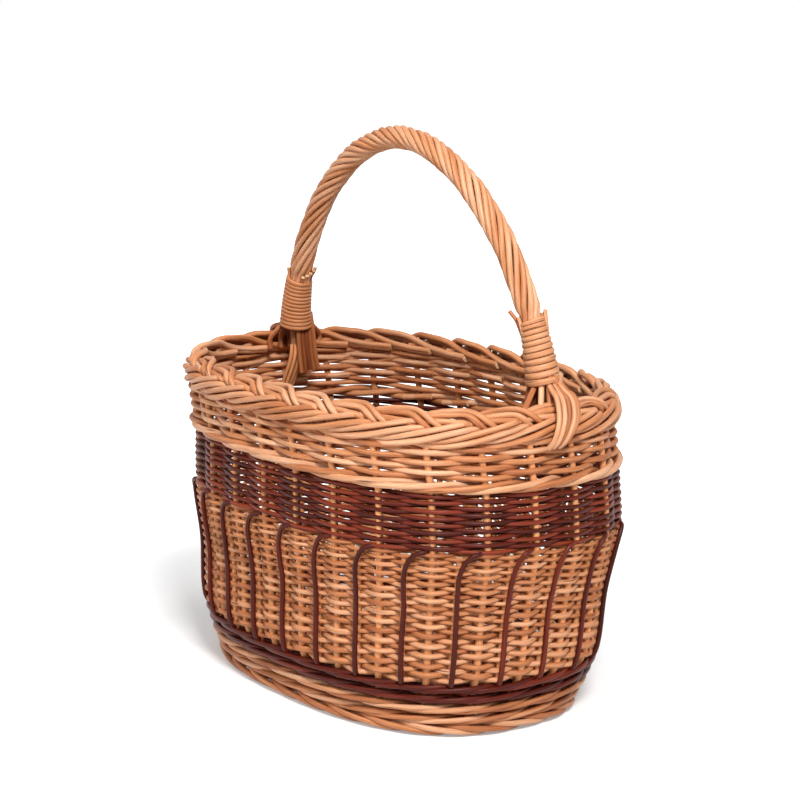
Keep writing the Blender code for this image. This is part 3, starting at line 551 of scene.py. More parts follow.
def add_randed_row(bundle, wall, warps, row, level, radius, middle, swing, steps, rods, lift, wander, pale=1.0):
    """One row in front of one warp and behind the next, as a few rods that end inside behind a warp."""
    share = warps // rods
    first = 2 * int(bundle.random.integers(warps // 2)) + 1 - row % 2
    for rod in range(rods):
        start = first + rod * share + (rod * share) % 2
        stop = first + (rod + 1) * share + ((rod + 1) * share) % 2
        place = np.linspace(start - 0.45, stop + 0.45, int((stop - start + 0.9) * steps))
        turns = place / warps
        near_end = np.clip(1.2 - np.minimum(place - place[0], place[-1] - place), 0, 1) ** 2
        depth = middle(place) - swing(place) * lift(place + row) + near_end * radius * 1.1
        bumps = bundle.random.normal(0, 1, int(stop - start) + 6)
        bumps = np.interp(place - start + 2, np.arange(len(bumps)), bumps)
        height = level + wobble(bundle, turns, radius * wander) + bumps * radius * wander * 0.45
        taper = np.interp(place, (place[0], place[-1]), (1.10, 0.90))
        # A pale below one keeps the rods to the darker tints; where it is used, that is painted shade low on the
        # wall
        bundle.add(wall.point(turns, height, depth), radius * taper, bundle.random.random() * pale)


def add_wale(bundle, wall, base, top, diameter, middle, swing, steps, rising=1, rods=9, pale=1.0):
    """Rods that each pass in front of two stakes and behind one, overlapping like strokes of a rope."""
    radius = diameter / 2
    low, high = base + radius * 0.9, top - radius * 0.9
    climb = smooth_wave((-0.45, 1.45, 2.0), (-1, 1, 0), 3, 0.16)
    inout = smooth_wave((-0.3, 0.15, 0.85, 1.3, 1.8, 2.2), (0.5, 1, 1, 0.5, -1, -1), 3, 0.17)
    laps = 3 * wall.stakes
    marks = [3 * int(round(index * laps / rods / 3)) - 1 for index in range(rods + 1)]
    for start, stop in zip(marks[:-1], marks[1:]):
        place = np.linspace(start - 0.35, stop + 0.35, int((stop - start + 0.7) * steps))
        turns = place / wall.stakes
        near_end = np.clip(0.9 - np.minimum(place - place[0], place[-1] - place), 0, 1) ** 2
        height = (low + high) / 2 + rising * climb(place) * (high - low) / 2
        depth = middle - swing * inout(place) + near_end * radius * 1.2
        taper = np.interp(place, (place[0], place[-1]), (1.08, 0.93))
        # A pale below one keeps the rods to the darker tints; where it is used, that is painted shade low on the
        # wall
        bundle.add(wall.point(turns + 0.5 / wall.stakes, height, depth), radius * taper,
                   bundle.random.random() * pale)


def build_stakes():
    """The light upright stakes and the thinner by-stakes of the lower weave."""
    size = sizes()
    wall = Wall(size)
    bundle = RodBundle(11)
    for stake in range(size.stakes):
        heights = np.linspace(0.006, size.border_level + 0.014, 30)
        turns = (stake + 0.5) / size.stakes + bundle.random.normal(0, 0.0004)
        depth = size.stake_depth + np.interp(
            heights, (size.lower_level - 0.002, size.lower_level + 0.006, size.border_level,
                      size.border_level + 0.014), (0.0022, 0, 0, 0.003))
        radius = size.stake_diameter / 2 * np.linspace(1.05, 0.92, 30)
        bundle.add(wall.point(turns, heights, depth), radius)
    make_rods("stakes", bundle, "stake_rods", ("stakes",), unevenness=0.03)
    bundle = RodBundle(12)
    for stake in range(size.stakes):
        heights = np.linspace(size.lower_level - 0.003, size.band_level - 0.003, 20)
        turns = stake / size.stakes + bundle.random.normal(0, 0.0004)
        bundle.add(wall.point(turns, heights, size.stake_depth + 0.0012), size.stake_diameter / 2 * 0.85)
    make_rods("by_stakes", bundle, "stake_rods", unevenness=0.03)


def build_lower_weave():
    """Rods that show between the ribs, thicker towards the foot."""
    size = sizes()
    wall = Wall(size)
    bundle = RodBundle(21)
    warps = 2 * size.stakes
    pitches = np.linspace(4.4, 2.8, size.lower_rows)
    pitches *= (size.band_level - size.lower_level) / pitches.sum()
    levels = size.lower_level + np.cumsum(pitches) - pitches / 2
    fronts = (smooth_wave((0, 0.10, 1, 1.90), (1.05, 0.95, -1.15, 0.95), 2, 0.065),
              smooth_wave((0, 0.14, 0.60, 1, 1.40, 1.86), (1.05, 1, 0.06, -1.15, 0.06, 1), 2, 0.065))
    for row, (level, pitch) in enumerate(zip(levels, pitches)):
        stout = 0.56 if row % 2 else 0.48
        # Painted shade: the lower weave's rods take only the darker part of the tints
        add_randed_row(bundle, wall, warps, row, level, pitch * stout,
                       lambda place: 0.0064 + 0.0004 * np.cos(math.pi * place),
                       lambda place: 0.0039 - 0.0003 * np.cos(math.pi * place), 8, 2, fronts[row % 2], 0.34,
                       0.70)
    make_rods("lower_weave_rods", bundle, "stripped_rods", ("lower_weave",), sides=7)


def build_dark_band():
    """Thin dark rows with light between them."""
    size = sizes()
    bundle = RodBundle(31)
    pitch = (size.mid_level - size.band_level) / size.band_rows
    front = smooth_wave((0, 1), (1.12, -1.12), 2, 0.13)
    for row in range(size.band_rows):
        level = size.band_level + (row + 0.5) * pitch
        add_randed_row(bundle, ShiftedWall(size), size.stakes, row, level, size.dark_rod / 2,
                       lambda place: 0.0060, lambda place: 0.0042, 12, 2, front, 0.28)
    make_rods("dark_band_rods", bundle, "bark_rods", ("dark_band",))


class ShiftedWall(Wall):
    """The wall counted from a stake, so that whole numbers of places lie on the stakes."""

    def point(self, turns, heights, depths):
        return super().point(turns + 0.5 / self.stakes, heights, depths)


def build_upper_weave():
    """Buff rows between the middle wale and the border."""
    size = sizes()
    bundle = RodBundle(41)
    pitch = (size.border_level + 0.002 - size.upper_level) / size.upper_rows
    front = smooth_wave((0, 1), (1.12, -1.12), 2, 0.13)
    for row in range(size.upper_rows + 3):
        level = size.upper_level + (row + 0.5) * pitch
        hidden = max(0, row - size.upper_rows + 1)
        add_randed_row(bundle, ShiftedWall(size), size.stakes, row, level, size.upper_rod / 2,
                       lambda place: 0.0060 + 0.0012 * hidden, lambda place: 0.0043 - 0.0004 * hidden, 12, 2, front,
                       0.24)
    make_rods("upper_weave_rods", bundle, "stripped_rods", ("upper_weave",))


def build_wales():
    """The thick rounds: the middle wale, the dark wale and the foot's wale."""
    size = sizes()
    wall = Wall(size)
    bundle = RodBundle(51)
    add_wale(bundle, wall, size.mid_level, size.upper_level, size.mid_rod, 0.0053, 0.0052, 8)
    make_rods("mid_wale_rods", bundle, "stripped_rods", ("mid_wale",), sides=10)
    bundle = RodBundle(52)
    # Painted shade: the dark wale's rods take only the darker part of the tints
    middle = (size.dark_wale_level + size.lower_level) / 2
    for base, top in ((size.dark_wale_level, middle), (middle, size.lower_level)):
        add_wale(bundle, wall, base, top, size.dark_wale_rod, 0.0056, 0.0048, 8, pale=0.7)
    make_rods("dark_wale_rods", bundle, "bark_rods", ("dark_lower_wale",), sides=10)
    bundle = RodBundle(53)
    # Painted shade: the foot wale's and the foot border's rods take only the darker part of the tints
    middle = (size.foot_wale_level + size.dark_wale_level) / 2
    for base, top in ((size.foot_wale_level, middle), (middle, size.dark_wale_level)):
        add_wale(bundle, wall, base, top, size.foot_rod, 0.0048, 0.0046, 8, pale=0.8)
    make_rods("foot_wale_rods", bundle, "stripped_rods", ("foot_wale",), sides=10)
    bundle = RodBundle(54)
    add_wale(bundle, wall, 0.0002, size.foot_wale_level + 0.002, size.foot_rod, 0.0032, 0.0048, 9, rising=-1,
             rods=20, pale=0.8)
    make_rods("foot_border_rods", bundle, "stripped_rods", ("foot_border",), sides=10)


def build_ribs():
    """Dark ribs outside the lower weave, with their tops bent aside under the dark band."""
    size = sizes()
    wall = Wall(size)
    bundle = RodBundle(61)
    foot, top = size.lower_level, size.band_level
    radius = size.rib_diameter / 2
    for rib in range(size.stakes):
        wander = bundle.random.normal(0, 0.0004, 3)
        reach = bundle.random.uniform(0.65, 1.15)
        places = ((0, foot - 0.009, 0.0064), (0, foot - 0.002, 0.0030), (0, foot + 0.004, 0.0004),
                  (wander[0], foot + 0.032, 0.0003), (wander[1], foot + 0.062, 0.0003),
                  (wander[2], top - 0.036, 0.0003), (wander[2], top - 0.025 * reach, 0.0003),
                  (wander[2] + 0.0014, top - 0.0150 * reach, 0.0003),
                  (wander[2] + 0.0045, top - 0.0068 * reach, 0.0001),
                  (wander[2] + 0.0090, top - 0.0010, 0), (0.0140, top + 0.0008, 0.0012),
                  (0.0185, top + 0.0012, 0.0044), (size.rib_bend, top + 0.0012, 0.0088))
        line = smooth_path(places, 72)
        turns = rib / size.stakes + line[:, 0] / wall.girth
        bundle.add(wall.point(turns, line[:, 1], line[:, 2]), radius * np.linspace(1.06, 0.88, 72),
                   tint=bundle.random.uniform(0, 0.5))
    nodes = ["rib_%02d" % number for number in range(1, size.stakes + 1)]
    make_rods("ribs", bundle, "bark_rods", nodes, sides=10, unevenness=0.03)


class BorderFace:
    """The rounded face of the border, from its inside over the crest to the brim."""

    def __init__(self, size):
        places = np.array(((-0.0050, -0.0046), (0, 0), (0.0070, -0.0034), (0.0122, -0.0137), (0.0116, -0.0207),
                           (0.0086, -0.0280)))
        line = smooth_path(np.column_stack((places, places[:, 0] * 0)), 240)[:, :2]
        line = line + np.array((size.crest_spread, size.border_top - 0.0043))
        reached = np.concatenate(([0], np.cumsum(np.linalg.norm(np.diff(line, axis=0), axis=1))))
        crest = reached[int(np.argmax(line[:, 1]))]
        ahead = np.gradient(line, axis=0)
        ahead /= np.linalg.norm(ahead, axis=1)[:, None]
        self.line, self.reached = line, reached - crest
        self.out = np.column_stack((-ahead[:, 1], ahead[:, 0]))

    def at(self, fall, layer):
        """Spread and height at a distance down the face, lifted off it by a layer."""
        places = [np.interp(fall, self.reached, self.line[:, axis]) for axis in range(2)]
        out = [np.interp(fall, self.reached, self.out[:, axis]) for axis in range(2)]
        return places[0] + out[0] * layer, places[1] + out[1] * layer


# A rod of the plait, phase by phase: stakes passed, way down the face, rod radii off the face, and the
# lag of the rods that lie beside the first
PLAIT_STEPS = np.array((
    (-1.95, 7.6, -3.9, 0), (-1.45, 6.6, -3.7, 0), (-1.00, 4.6, -2.7, 0), (-0.70, 2.8, -1.3, 0), (-0.45, 1.1, 0.1, 0),
    (-0.20, 0.2, 0.9, 0),
    (0.06, 0.0, 1.2, 0), (0.26, 1.3, 1.4, 0), (0.42, 4.9, 1.6, -0.06), (0.56, 8.8, 1.6, -0.14),
    (0.70, 12.6, 0.8, -0.20), (0.82, 15.7, -0.6, -0.20), (0.98, 19.4, -1.6, -0.18), (1.16, 22.8, -1.8, -0.13),
    (1.34, 25.0, -1.4, -0.10), (1.54, 26.2, -0.6, -0.05), (1.76, 25.3, 0.1, 0), (2.00, 23.2, 0.6, 0),
    (2.50, 18.4, 1.2, 0), (2.95, 14.0, 1.8, 0.05), (3.12, 12.3, 1.6, 0.10), (3.28, 10.7, 0.3, 0.12),
    (3.46, 9.4, -1.6, 0.12), (3.64, 9.0, -2.4, 0.05)))
THIRD_ROD_END = 1.50
PLAIT_UNIT = 0.0009


def build_border():
    """The plait: groups of three rods that arch over the crest and tuck under, and two go on along the brim."""
    size = sizes()
    wall = Wall(size)
    bundle = RodBundle(71)
    radius = size.border_rod / 2
    face = BorderFace(size)
    stitch = wall.girth / wall.stakes
    phase, down, layers, lag = PLAIT_STEPS.T
    count = 120
    marks = np.linspace(phase[0], phase[-1], count)
    first = smooth_path(np.column_stack((phase * stitch, down * PLAIT_UNIT, phase * 0)), count)[:, :2]
    ahead = np.gradient(first, axis=0)
    ahead /= np.linalg.norm(ahead, axis=1)[:, None]
    gap = size.border_gap * np.interp(first[:, 0] / stitch, (-2, -0.6, 0, 0.9, 1.5), (0.5, 0.7, 1, 0.98, 1.04))
    for stake in range(wall.stakes):
        for rod in range(3):
            shift = bundle.random.normal(0, 0.02)
            sink = bundle.random.normal(0, 0.0003)
            layer = np.interp(marks, phase + lag * rod, layers)
            layer = np.interp(first[:, 0] / stitch, marks, layer)
            along = first[:, 0] - ahead[:, 1] * gap * rod
            fall = first[:, 1] + ahead[:, 0] * gap * rod + sink
            spread, height = face.at(fall, layer * radius)
            turns = (stake + shift + along / stitch) / wall.stakes
            last = count if rod < 2 else int(np.searchsorted(first[:, 0] / stitch, THIRD_ROD_END))
            thick = radius * np.linspace(1.06, 0.92, count)
            bundle.add(wall.ring(turns, spread, height)[:last], thick[:last], bundle.random.uniform(0.25, 0.85))
    make_rods("border_plait", bundle, "stripped_rods", ("plaited_border",), sides=10, unevenness=0.03)


def build_base():
    """The woven base: rows round an oval, over and under the sticks."""
    size = sizes()
    wall = Wall(size)
    bundle = RodBundle(81)
    low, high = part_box("base_weave")
    middle = (low.z + high.z) / 2
    radius = size.base_rod / 2
    outer = high.x - size.foot_length / 2 - radius
    row = 0
    spread = outer
    while size.foot_width / 2 + spread > 0.0015:
        warps = 32
        place = np.linspace(0, warps, warps * 5 + 1)
        lift = np.cos(math.pi * (place + row))
        bundle.add(wall.ring(place / warps, spread, middle + lift * 0.0034), radius)
        spread -= size.base_rod * 0.93
        row += 1
    make_rods("base_rods", bundle, "stripped_rods", ("base_weave",), sides=7)


# The bow handle

class Bow:
    """Centre line of the bow handle, from the foot at the back left to the foot at the front right."""

    def __init__(self, size):
        self.size = size
        angles = np.linspace(0, math.pi, 2881)
        power = 2 / size.handle_roundness
        rise = np.abs(np.sin(angles)) ** power
        x = -size.handle_half_span * signed_power(np.cos(angles), power)
        y = size.handle_step - size.handle_lean * rise
        z = size.handle_foot + size.handle_rise * rise
        self.points = np.column_stack((x, y, z))
        self.reached = np.concatenate(([0], np.cumsum(np.linalg.norm(np.diff(self.points, axis=0), axis=1))))
        self.length = float(self.reached[-1])
        self.side = np.array((0, size.handle_rise, size.handle_lean))
        self.side /= np.linalg.norm(self.side)

    def at(self, lengths):
        """Points along the bow."""
        return np.column_stack([np.interp(lengths, self.reached, self.points[:, axis]) for axis in range(3)])

    def frame(self, lengths):
        """Points, tangents and inward directions along the bow."""
        lengths = np.asarray(lengths, float)
        step = 0.0015
        ahead = self.at(np.minimum(lengths + step, self.length))
        behind = self.at(np.maximum(lengths - step, 0))
        tangent = ahead - behind
        tangent /= np.linalg.norm(tangent, axis=1)[:, None]
        inward = np.cross(tangent, -self.side)
        inward /= np.linalg.norm(inward, axis=1)[:, None]
        return self.at(lengths), tangent, inward

    def radius(self, lengths):
        """Radius of the roping, pinched under the bindings and flared at its feet."""
        size = self.size
        left_top = size.left_start + size.left_turns * size.left_pitch + 0.006
        right_top = self.length - size.right_start - size.right_turns * size.right_pitch - 0.007
        knots = (size.left_start, left_top, left_top + 0.008, self.length / 2, right_top - 0.008, right_top,
                 self.length - size.right_start)
        radii = (0.0112, 0.0082, 0.0102, 0.0096, 0.0102, 0.0082, 0.0112)
        return np.interp(lengths, knots, radii)


def build_handle():
    """The rods roped round the bow's core."""
    size = sizes()
    bow = Bow(size)
    bundle = RodBundle(91)
    lengths = np.linspace(size.left_start + 0.006, bow.length - size.right_start - 0.006, 260)
    centre, tangent, inward = bow.frame(lengths)
    lay = size.handle_lay * np.interp(lengths / bow.length, (0, 0.22, 0.42, 0.62, 0.82, 1),
                                      (2.8, 2.0, 1.15, 1.15, 1.9, 2.8))
    twist = np.concatenate(([0], np.cumsum(2 * math.pi / lay[1:] * np.diff(lengths))))
    for rod in range(size.handle_rods):
        wave = bundle.random.random(2) * 2 * math.pi
        angle = 2 * math.pi * rod / size.handle_rods + twist
        angle = angle + 0.06 * np.sin(lengths * 31 + wave[0])
        reach = bow.radius(lengths) - size.handle_rod / 2 + 0.0003 * np.sin(lengths * 47 + wave[1])
        side = np.cos(angle)[:, None] * inward + np.sin(angle)[:, None] * bow.side
        bundle.add(centre + side * reach[:, None], size.handle_rod / 2, bundle.random.uniform(0.35, 0.85))
    make_rods("handle_roping", bundle, "stripped_rods", ("handle_rope",), sides=10)


def build_bindings():
    """The two whipped bindings, each one skein wound round the foot of the roping."""
    size = sizes()
    bow = Bow(size)
    wound = (
        ("left_binding_skein", "binding_left", size.left_start + 0.0029, 1, size.left_turns, size.left_pitch,
         size.left_skein, 0.86, 0.0),
        ("right_binding_skein", "binding_right", bow.length - size.right_start - 0.0034, -1, size.right_turns,
         size.right_pitch, size.right_skein, 0.62, 0.22),
    )
    for index, (name, node, first, way, turns, pitch, skein, flatness, widening) in enumerate(wound):
        bundle = RodBundle(101 + index)
        steps = np.linspace(0, turns, turns * 28 + 1)
        share = steps / turns
        local = pitch * (steps + widening * turns * (share - share * share))
        centre, tangent, inward = bow.frame(first + way * local)
        width = skein / 2 * (1 + widening * (1 - 2 * share)) / max(flatness, 0.8) * 1.06
        angle = 2 * math.pi * steps
        side = np.cos(angle)[:, None] * bow.side + np.sin(angle)[:, None] * inward
        reach = bow.radius(first + way * local) + width * flatness
        bundle.add(centre + side * reach[:, None], width, facing=side)
        make_rods(name, bundle, "stripped_rods", (node,), sides=10, flatness=flatness, faced=True)


# Offsets of the legs from the bow's foot in millimetres, at the binding and down in the border
LEGS = (
    ((-3.0, -9.5), (12.5, -34.0)), ((4.0, -9.5), (13.5, -17.8)), ((7.5, -5.0), (14.0, -9.0)),
    ((9.5, -0.5), (14.5, -3.5)), ((9.0, 5.0), (14.5, 6.0)), ((3.0, 9.5), (13.0, 18.0)),
)
# The outer tails over the border: out from the rim's end, across, half their width there, and up, in millimetres
TAIL_STEPS = (
    (4.5, 1.0, 4.2, 21.0), (9.5, 0.8, 6.0, 14.5), (17.0, 0.0, 7.4, 9.6), (24.0, -1.0, 8.8, 6.8),
    (30.6, -3.5, 9.6, 1.4), (36.0, -7.0, 9.4, -8.0), (38.0, -11.5, 8.2, -16.6), (36.8, -15.0, 6.8, -24.5),
    (33.0, -17.0, 6.0, -29.5),
)
# The cut stubs above the bindings: the bow's foot, turn round the bow in degrees, rise above the binding and
# splay from the roping in millimetres
STUBS = ((-1, -22, 5.5, 1.2), (-1, -4, 7.5, 1.4), (-1, 13, 9.5, 1.4), (-1, 30, 11.5, 1.6), (-1, 46, 13.0, 1.8),
         (-1, 228, 7.5, 1.6), (1, -50, 12.0, 4.5), (1, -72, 5.0, 2.0), (1, 128, 5.5, 4.0), (1, 108, 4.0, 2.0))
MILLIMETRE = 0.001
SPLINT_DEPTH = 0.0103
SPLINT_REACH = 0.0058


def build_tails():
    """Rods that leave the bindings: legs into the border, tails over it and down inside, and cut stubs above."""
    size = sizes()
    bow = Bow(size)
    outer, inner, legs = RodBundle(111), RodBundle(112), RodBundle(114)
    edge, step, crest = size.foot_length / 2, size.handle_step, size.border_top
    for way in (-1, 1):
        foot = np.array((way * size.handle_half_span, step, 0))
        for rod in range(5):
            place = (rod - 2) / 2
            over = (0.0, 0.9, 0.2, 1.1, 0.0)[rod]
            route = [(way * (edge + (out + over) * MILLIMETRE), step + way * (across + wide * place) * MILLIMETRE,
                      crest + up * (0.70 if way < 0 < up else 1) * MILLIMETRE + 0.0003 * bundle_wave(outer))
                     for out, across, wide, up in TAIL_STEPS]
            outer.add(smooth_path(route, 56), 0.0021)
        for rod in range(5):
            place = (rod - 2) / 2
            low = crest - 0.0325 + bundle_wave(inner) * 0.0012
            x = size.handle_half_span - 0.0085
            route = ((way * (x + 0.0015), step - way * (0.002 + 0.0075 * place), crest + 0.020),
                     (way * (x - 0.0005), step - way * (0.0034 + 0.0080 * place), crest + 0.004),
                     (way * x, step - way * (0.0065 + 0.0084 * place), crest - 0.016),
                     (way * (x + 0.0010), step - way * (0.0106 + 0.0088 * place), low))
            inner.add(smooth_path(route, 24), 0.0021)
        for top, base in LEGS:
            route = (foot + np.array((way * top[0], way * top[1], 0)) * MILLIMETRE + (0, 0, crest + 0.022),
                     foot + np.array((way * top[0], way * top[1], 0)) * MILLIMETRE + (0, 0, crest + 0.013),
                     foot + np.array((way * base[0], way * base[1], 0)) * MILLIMETRE + (0, 0, crest - 0.004),
                     foot + np.array((way * base[0], way * base[1], 0)) * MILLIMETRE + (0, 0, crest - 0.014))
            legs.add(smooth_path(route, 24), 0.0023)
    make_rods("outer_tail_rods", outer, "stripped_rods", ("outer_tail_left", "outer_tail_right"))
    # Their darker willow is painted shade inside the rim
    make_rods("inner_tail_rods", inner, "inner_shade_rods", ("inner_tail_left", "inner_tail_right"))
    make_rods("bow_leg_rods", legs, "stripped_rods")
    make_rods("core_splints", core_splints(size), "stake_rods")
    stubs = RodBundle(113)
    for way, turn, rise, splay in STUBS:
        if way < 0:
            root = size.left_start + size.left_turns * size.left_pitch
            along = np.linspace(root - 0.010, root + 0.0029 + rise * MILLIMETRE, 12)
        else:
            root = bow.length - size.right_start - size.right_turns * size.right_pitch
            along = np.linspace(root + 0.010, root - 0.0034 - rise * MILLIMETRE, 12)
        centre, _, inward = bow.frame(along)
        angle = math.radians(turn)
        side = math.cos(angle) * inward + math.sin(angle) * bow.side
        reach = bow.radius(along) + np.linspace(0.0002, splay * MILLIMETRE, 12)
        stubs.add(centre + side * reach[:, None], 0.0017)
    make_rods("cut_stubs", stubs, "stripped_rods")


def core_splints(size):
    """Thin rods that run down beside the core's two legs, on the side towards the basket's middle."""
    wall = Wall(size)
    bundle = RodBundle(115)
    top = size.upper_level - 0.015
    heights = np.linspace(size.handle_foot + 0.004, top - 0.068, 40)
    share = np.clip((size.handle_foot - heights) / (size.handle_foot - top), 0, 1)
    ease = share * share * (3 - 2 * share)
    at_wall = size.foot_length / 2 + wall.spread(np.minimum(heights, top)) - SPLINT_DEPTH
    x = size.handle_half_span + (at_wall - size.handle_half_span) * ease
    for way in (-1, 1):
        for turn in (-75, -38, 0, 38, 75):
            turn = math.radians(turn)
            across = size.handle_step - way * math.sin(turn) * SPLINT_REACH
            bundle.add(np.column_stack((way * (x - math.cos(turn) * SPLINT_REACH), x * 0 + across, heights)), 0.0016)
    return bundle


def bundle_wave(bundle):
    """A small random step between minus one and one."""
    return float(bundle.random.uniform(-1, 1))


# Stage

FILL_LIGHT = 0.06
LAMPS = (
    ("key_light", 62, 43, 3.0, 0.7, 93),
    ("left_light", 2, 28, 3.0, 1.3, 21),
    ("top_light", 40, 74, 2.8, 1.4, 30),
)


def build_stage():
    """Pale floor, soft lights and the camera at the photograph's angle."""
    scene = bpy.context.scene
    mesh = bpy.data.meshes.new("floor")
    reach = 6.0
    corners = [(-reach, -reach, 0), (reach, -reach, 0), (reach, reach, 0), (-reach, reach, 0)]
    mesh.from_pydata(corners, [], [(0, 1, 2, 3)])
    floor = bpy.data.objects.new("floor", mesh)
    scene.collection.objects.link(floor)
    material, tree = new_material("pale_floor")
    diffuse = add_node(tree, "ShaderNodeBsdfDiffuse", {"Color": (*colours().floor, 1)})
    glow = add_node(tree, "ShaderNodeEmission", {"Color": (1, 1, 1, 1)})
    seen = tree.nodes.new("ShaderNodeLightPath").outputs
    seen = math_node(tree, "MAXIMUM", seen["Is Camera Ray"],
                     math_node(tree, "MAXIMUM", seen["Is Glossy Ray"], seen["Is Transmission Ray"]))
    own = add_node(tree, "ShaderNodeTexCoord").outputs["Object"]
    far = add_node(tree, "ShaderNodeVectorMath", {0: own}, operation="LENGTH").outputs["Value"]
    paler = add_node(tree, "ShaderNodeMapRange",
                     {"Value": far, "From Min": 0.25, "From Max": 1.0, "To Min": 0.30, "To Max": 1.2}).outputs[0]
    tree.links.new(math_node(tree, "MULTIPLY", seen, paler), glow.inputs["Strength"])
    both = add_node(tree, "ShaderNodeAddShader", {0: diffuse.outputs[0], 1: glow.outputs[0]})
    output = tree.nodes.new("ShaderNodeOutputMaterial")
    tree.links.new(both.outputs[0], output.inputs["Surface"])
    mesh.materials.append(material)

    world = bpy.data.worlds.new("studio")
    scene.world = world
    world.use_nodes = True
    tree = world.node_tree
    tree.nodes.clear()
    paths = tree.nodes.new("ShaderNodeLightPath").outputs
    seen = math_node(tree, "MAXIMUM", paths["Is Camera Ray"],
                     math_node(tree, "MAXIMUM", paths["Is Glossy Ray"], paths["Is Transmission Ray"]))
    strength = math_node(tree, "MULTIPLY_ADD", seen, 1 - FILL_LIGHT, FILL_LIGHT)
    back = add_node(tree, "ShaderNodeBackground", {"Color": (1, 1, 1, 1), "Strength": strength})
    output = tree.nodes.new("ShaderNodeOutputWorld")
    tree.links.new(back.outputs[0], output.inputs["Surface"])

    for name, turn, height, far, width, power in LAMPS:
        turn, height = math.radians(turn), math.radians(height)
        place = (far * math.sin(turn) * math.cos(height), -far * math.cos(turn) * math.cos(height),
                 far * math.sin(height) + 0.2)
        lamp = bpy.data.lights.new(name, "AREA")
        lamp.size = width
        lamp.energy = power
        thing = bpy.data.objects.new(name, lamp)
        thing.location = place
        thing.rotation_euler = (Vector((0, 0, 0.15)) - Vector(place)).to_track_quat("-Z", "Y").to_euler()
        scene.collection.objects.link(thing)

    azimuth, elevation, roll = math.radians(51.5), math.radians(11.4), math.radians(2.0)
    away = Vector((math.sin(azimuth) * math.cos(elevation), -math.cos(azimuth) * math.cos(elevation),
                   math.sin(elevation)))
    right = Vector((math.cos(azimuth), math.sin(azimuth), 0))
    up = away.cross(right)
    across = right * math.cos(roll) + up * math.sin(roll)
    upward = up * math.cos(roll) - right * math.sin(roll)
    target = Vector((0, 0, 0.237)) - right * 0.0023
    lens = bpy.data.cameras.new("camera")
    lens.sensor_width = 36
    lens.lens = 106.76
    camera = bpy.data.objects.new("camera", lens)
    turned = Matrix((across, upward, away)).transposed().to_4x4()
    camera.matrix_world = Matrix.Translation(target + away * 1.971) @ turned
    scene.collection.objects.link(camera)
    scene.camera = camera
    scene.view_settings.view_transform = "Standard"


def build_finishes():
    """All the willow finishes, and those of the frame's own sticks."""
    tone = colours()
    dark_spot = painted(70, 34, 20)
    willow_material("stripped_rods", tone.buff_dark, tone.buff, tone.buff_light, dark_spot, 0.46, 0.00010, 0.28)
    willow_material("bark_rods", tone.dark_deep, tone.dark, tone.dark_light, painted(24, 8, 6), 0.36, 0.00008,
                    0.16)
    willow_material("stake_rods", scaled(tone.brown, 0.7), tone.brown, scaled(tone.brown, 1.25), dark_spot, 0.50,
                    0.00010, 0.22)
    # Painted shade: the tails that run down inside the rim take a darker willow than the same rods outside it
    willow_material("inner_shade_rods", painted(74, 30, 12), painted(136, 72, 38), painted(184, 114, 68), dark_spot, 0.50,
                    0.00010, 0.22)
    cut_material("cut_willow", tone.cut, scaled(tone.cut, 0.6))
    peeled = stick_material("peeled_sticks", tone.peeled, scaled(tone.peeled, 0.6))
    core = stick_material("core_stick", scaled(tone.brown, 0.55), scaled(tone.brown, 0.30))
    for name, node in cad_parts.items():
        if name.startswith(("base_cross", "base_long", "handle_core")):
            for slot in node.material_slots:
                slot.material = core if name == "handle_core" else peeled


# Operators

class BasketStep:
    """What the basket's operators share."""
    bl_options = {"REGISTER", "UNDO"}
    build = None

    def execute(self, context):
        type(self).build()
        return {"FINISHED"}


class BASKET_OT_finishes(BasketStep, bpy.types.Operator):
    """Makes the willow finishes"""
    bl_idname = "basket.finishes"
    bl_label = "Finishes"
    build = staticmethod(build_finishes)


class BASKET_OT_stakes(BasketStep, bpy.types.Operator):
    """Stands the stakes and by-stakes up"""
    bl_idname = "basket.stakes"
    bl_label = "Stakes"
    build = staticmethod(build_stakes)


class BASKET_OT_lower_weave(BasketStep, bpy.types.Operator):
    """Weaves the lower wall"""
    bl_idname = "basket.lower_weave"
    bl_label = "Lower weave"
    build = staticmethod(build_lower_weave)


class BASKET_OT_dark_band(BasketStep, bpy.types.Operator):
    """Weaves the dark band"""
    bl_idname = "basket.dark_band"
    bl_label = "Dark band"
    build = staticmethod(build_dark_band)


class BASKET_OT_upper_weave(BasketStep, bpy.types.Operator):
    """Weaves the rows under the border"""
    bl_idname = "basket.upper_weave"
    bl_label = "Upper weave"
    build = staticmethod(build_upper_weave)


class BASKET_OT_wales(BasketStep, bpy.types.Operator):
    """Lays the thick rounds of the wall and the foot"""
    bl_idname = "basket.wales"
    bl_label = "Wales"
    build = staticmethod(build_wales)


class BASKET_OT_ribs(BasketStep, bpy.types.Operator):
    """Sets the dark ribs outside the lower weave"""
    bl_idname = "basket.ribs"
    bl_label = "Ribs"
    build = staticmethod(build_ribs)


class BASKET_OT_border(BasketStep, bpy.types.Operator):
    """Plaits the border"""
    bl_idname = "basket.border"
    bl_label = "Border"
    build = staticmethod(build_border)


class BASKET_OT_base(BasketStep, bpy.types.Operator):
    """Weaves the base"""
    bl_idname = "basket.base"
    bl_label = "Base"
    build = staticmethod(build_base)


class BASKET_OT_handle(BasketStep, bpy.types.Operator):
    """Ropes the bow handle"""
    bl_idname = "basket.handle"
    bl_label = "Handle"
    build = staticmethod(build_handle)


class BASKET_OT_bindings(BasketStep, bpy.types.Operator):
    """Winds the two bindings"""
    bl_idname = "basket.bindings"
    bl_label = "Bindings"
    build = staticmethod(build_bindings)


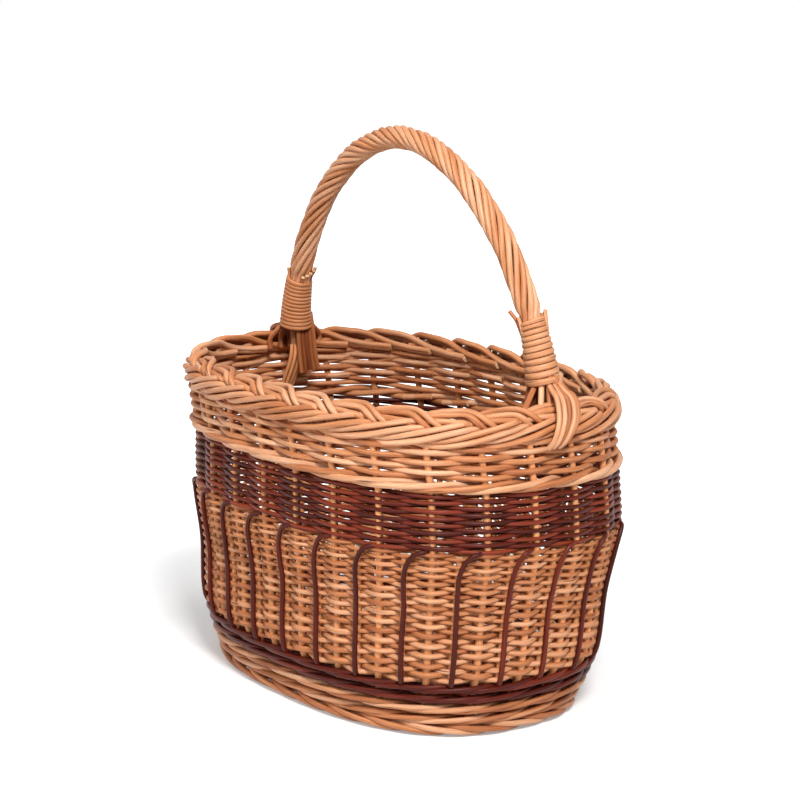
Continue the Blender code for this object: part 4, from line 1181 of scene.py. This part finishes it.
class BASKET_OT_tails(BasketStep, bpy.types.Operator):
    """Lays the rods that leave the bindings"""
    bl_idname = "basket.tails"
    bl_label = "Tails and stubs"
    build = staticmethod(build_tails)


class BASKET_OT_stage(BasketStep, bpy.types.Operator):
    """Sets the floor, the lights and the camera"""
    bl_idname = "basket.stage"
    bl_label = "Stage"
    build = staticmethod(build_stage)


STEPS = (
    BASKET_OT_finishes,
    BASKET_OT_stakes,
    BASKET_OT_lower_weave,
    BASKET_OT_dark_band,
    BASKET_OT_upper_weave,
    BASKET_OT_wales,
    BASKET_OT_ribs,
    BASKET_OT_border,
    BASKET_OT_base,
    BASKET_OT_handle,
    BASKET_OT_bindings,
    BASKET_OT_tails,
    BASKET_OT_stage,
)


class BASKET_PT_panel(bpy.types.Panel):
    """Lists the basket's steps, sizes and colours"""
    bl_idname = "BASKET_PT_panel"
    bl_label = "Foraging basket"
    bl_space_type = "VIEW_3D"
    bl_region_type = "UI"
    bl_category = "Basket"

    def draw(self, context):
        column = self.layout.column(align=True)
        for step in STEPS:
            column.operator(step.bl_idname)
        for title, group in (("Sizes", context.scene.basket_sizes), ("Colours", context.scene.basket_colours)):
            box = self.layout.box()
            box.label(text=title)
            for name in group.bl_rna.properties.keys():
                if name not in ("rna_type", "name"):
                    box.prop(group, name)


CLASSES = (BASKET_PG_sizes, BASKET_PG_colours, *STEPS, BASKET_PT_panel)


def register():
    """Adds the classes and the properties."""
    for item in CLASSES:
        bpy.utils.register_class(item)
    bpy.types.Scene.basket_sizes = bpy.props.PointerProperty(type=BASKET_PG_sizes)
    bpy.types.Scene.basket_colours = bpy.props.PointerProperty(type=BASKET_PG_colours)


def unregister():
    """Takes the classes and the properties away."""
    del bpy.types.Scene.basket_colours
    del bpy.types.Scene.basket_sizes
    for item in reversed(CLASSES):
        bpy.utils.unregister_class(item)


def main():
    """Builds every piece in order."""
    register()
    for step in STEPS:
        family, action = step.bl_idname.split(".")
        getattr(getattr(bpy.ops, family), action)()


if __name__ == "__main__":
    main()
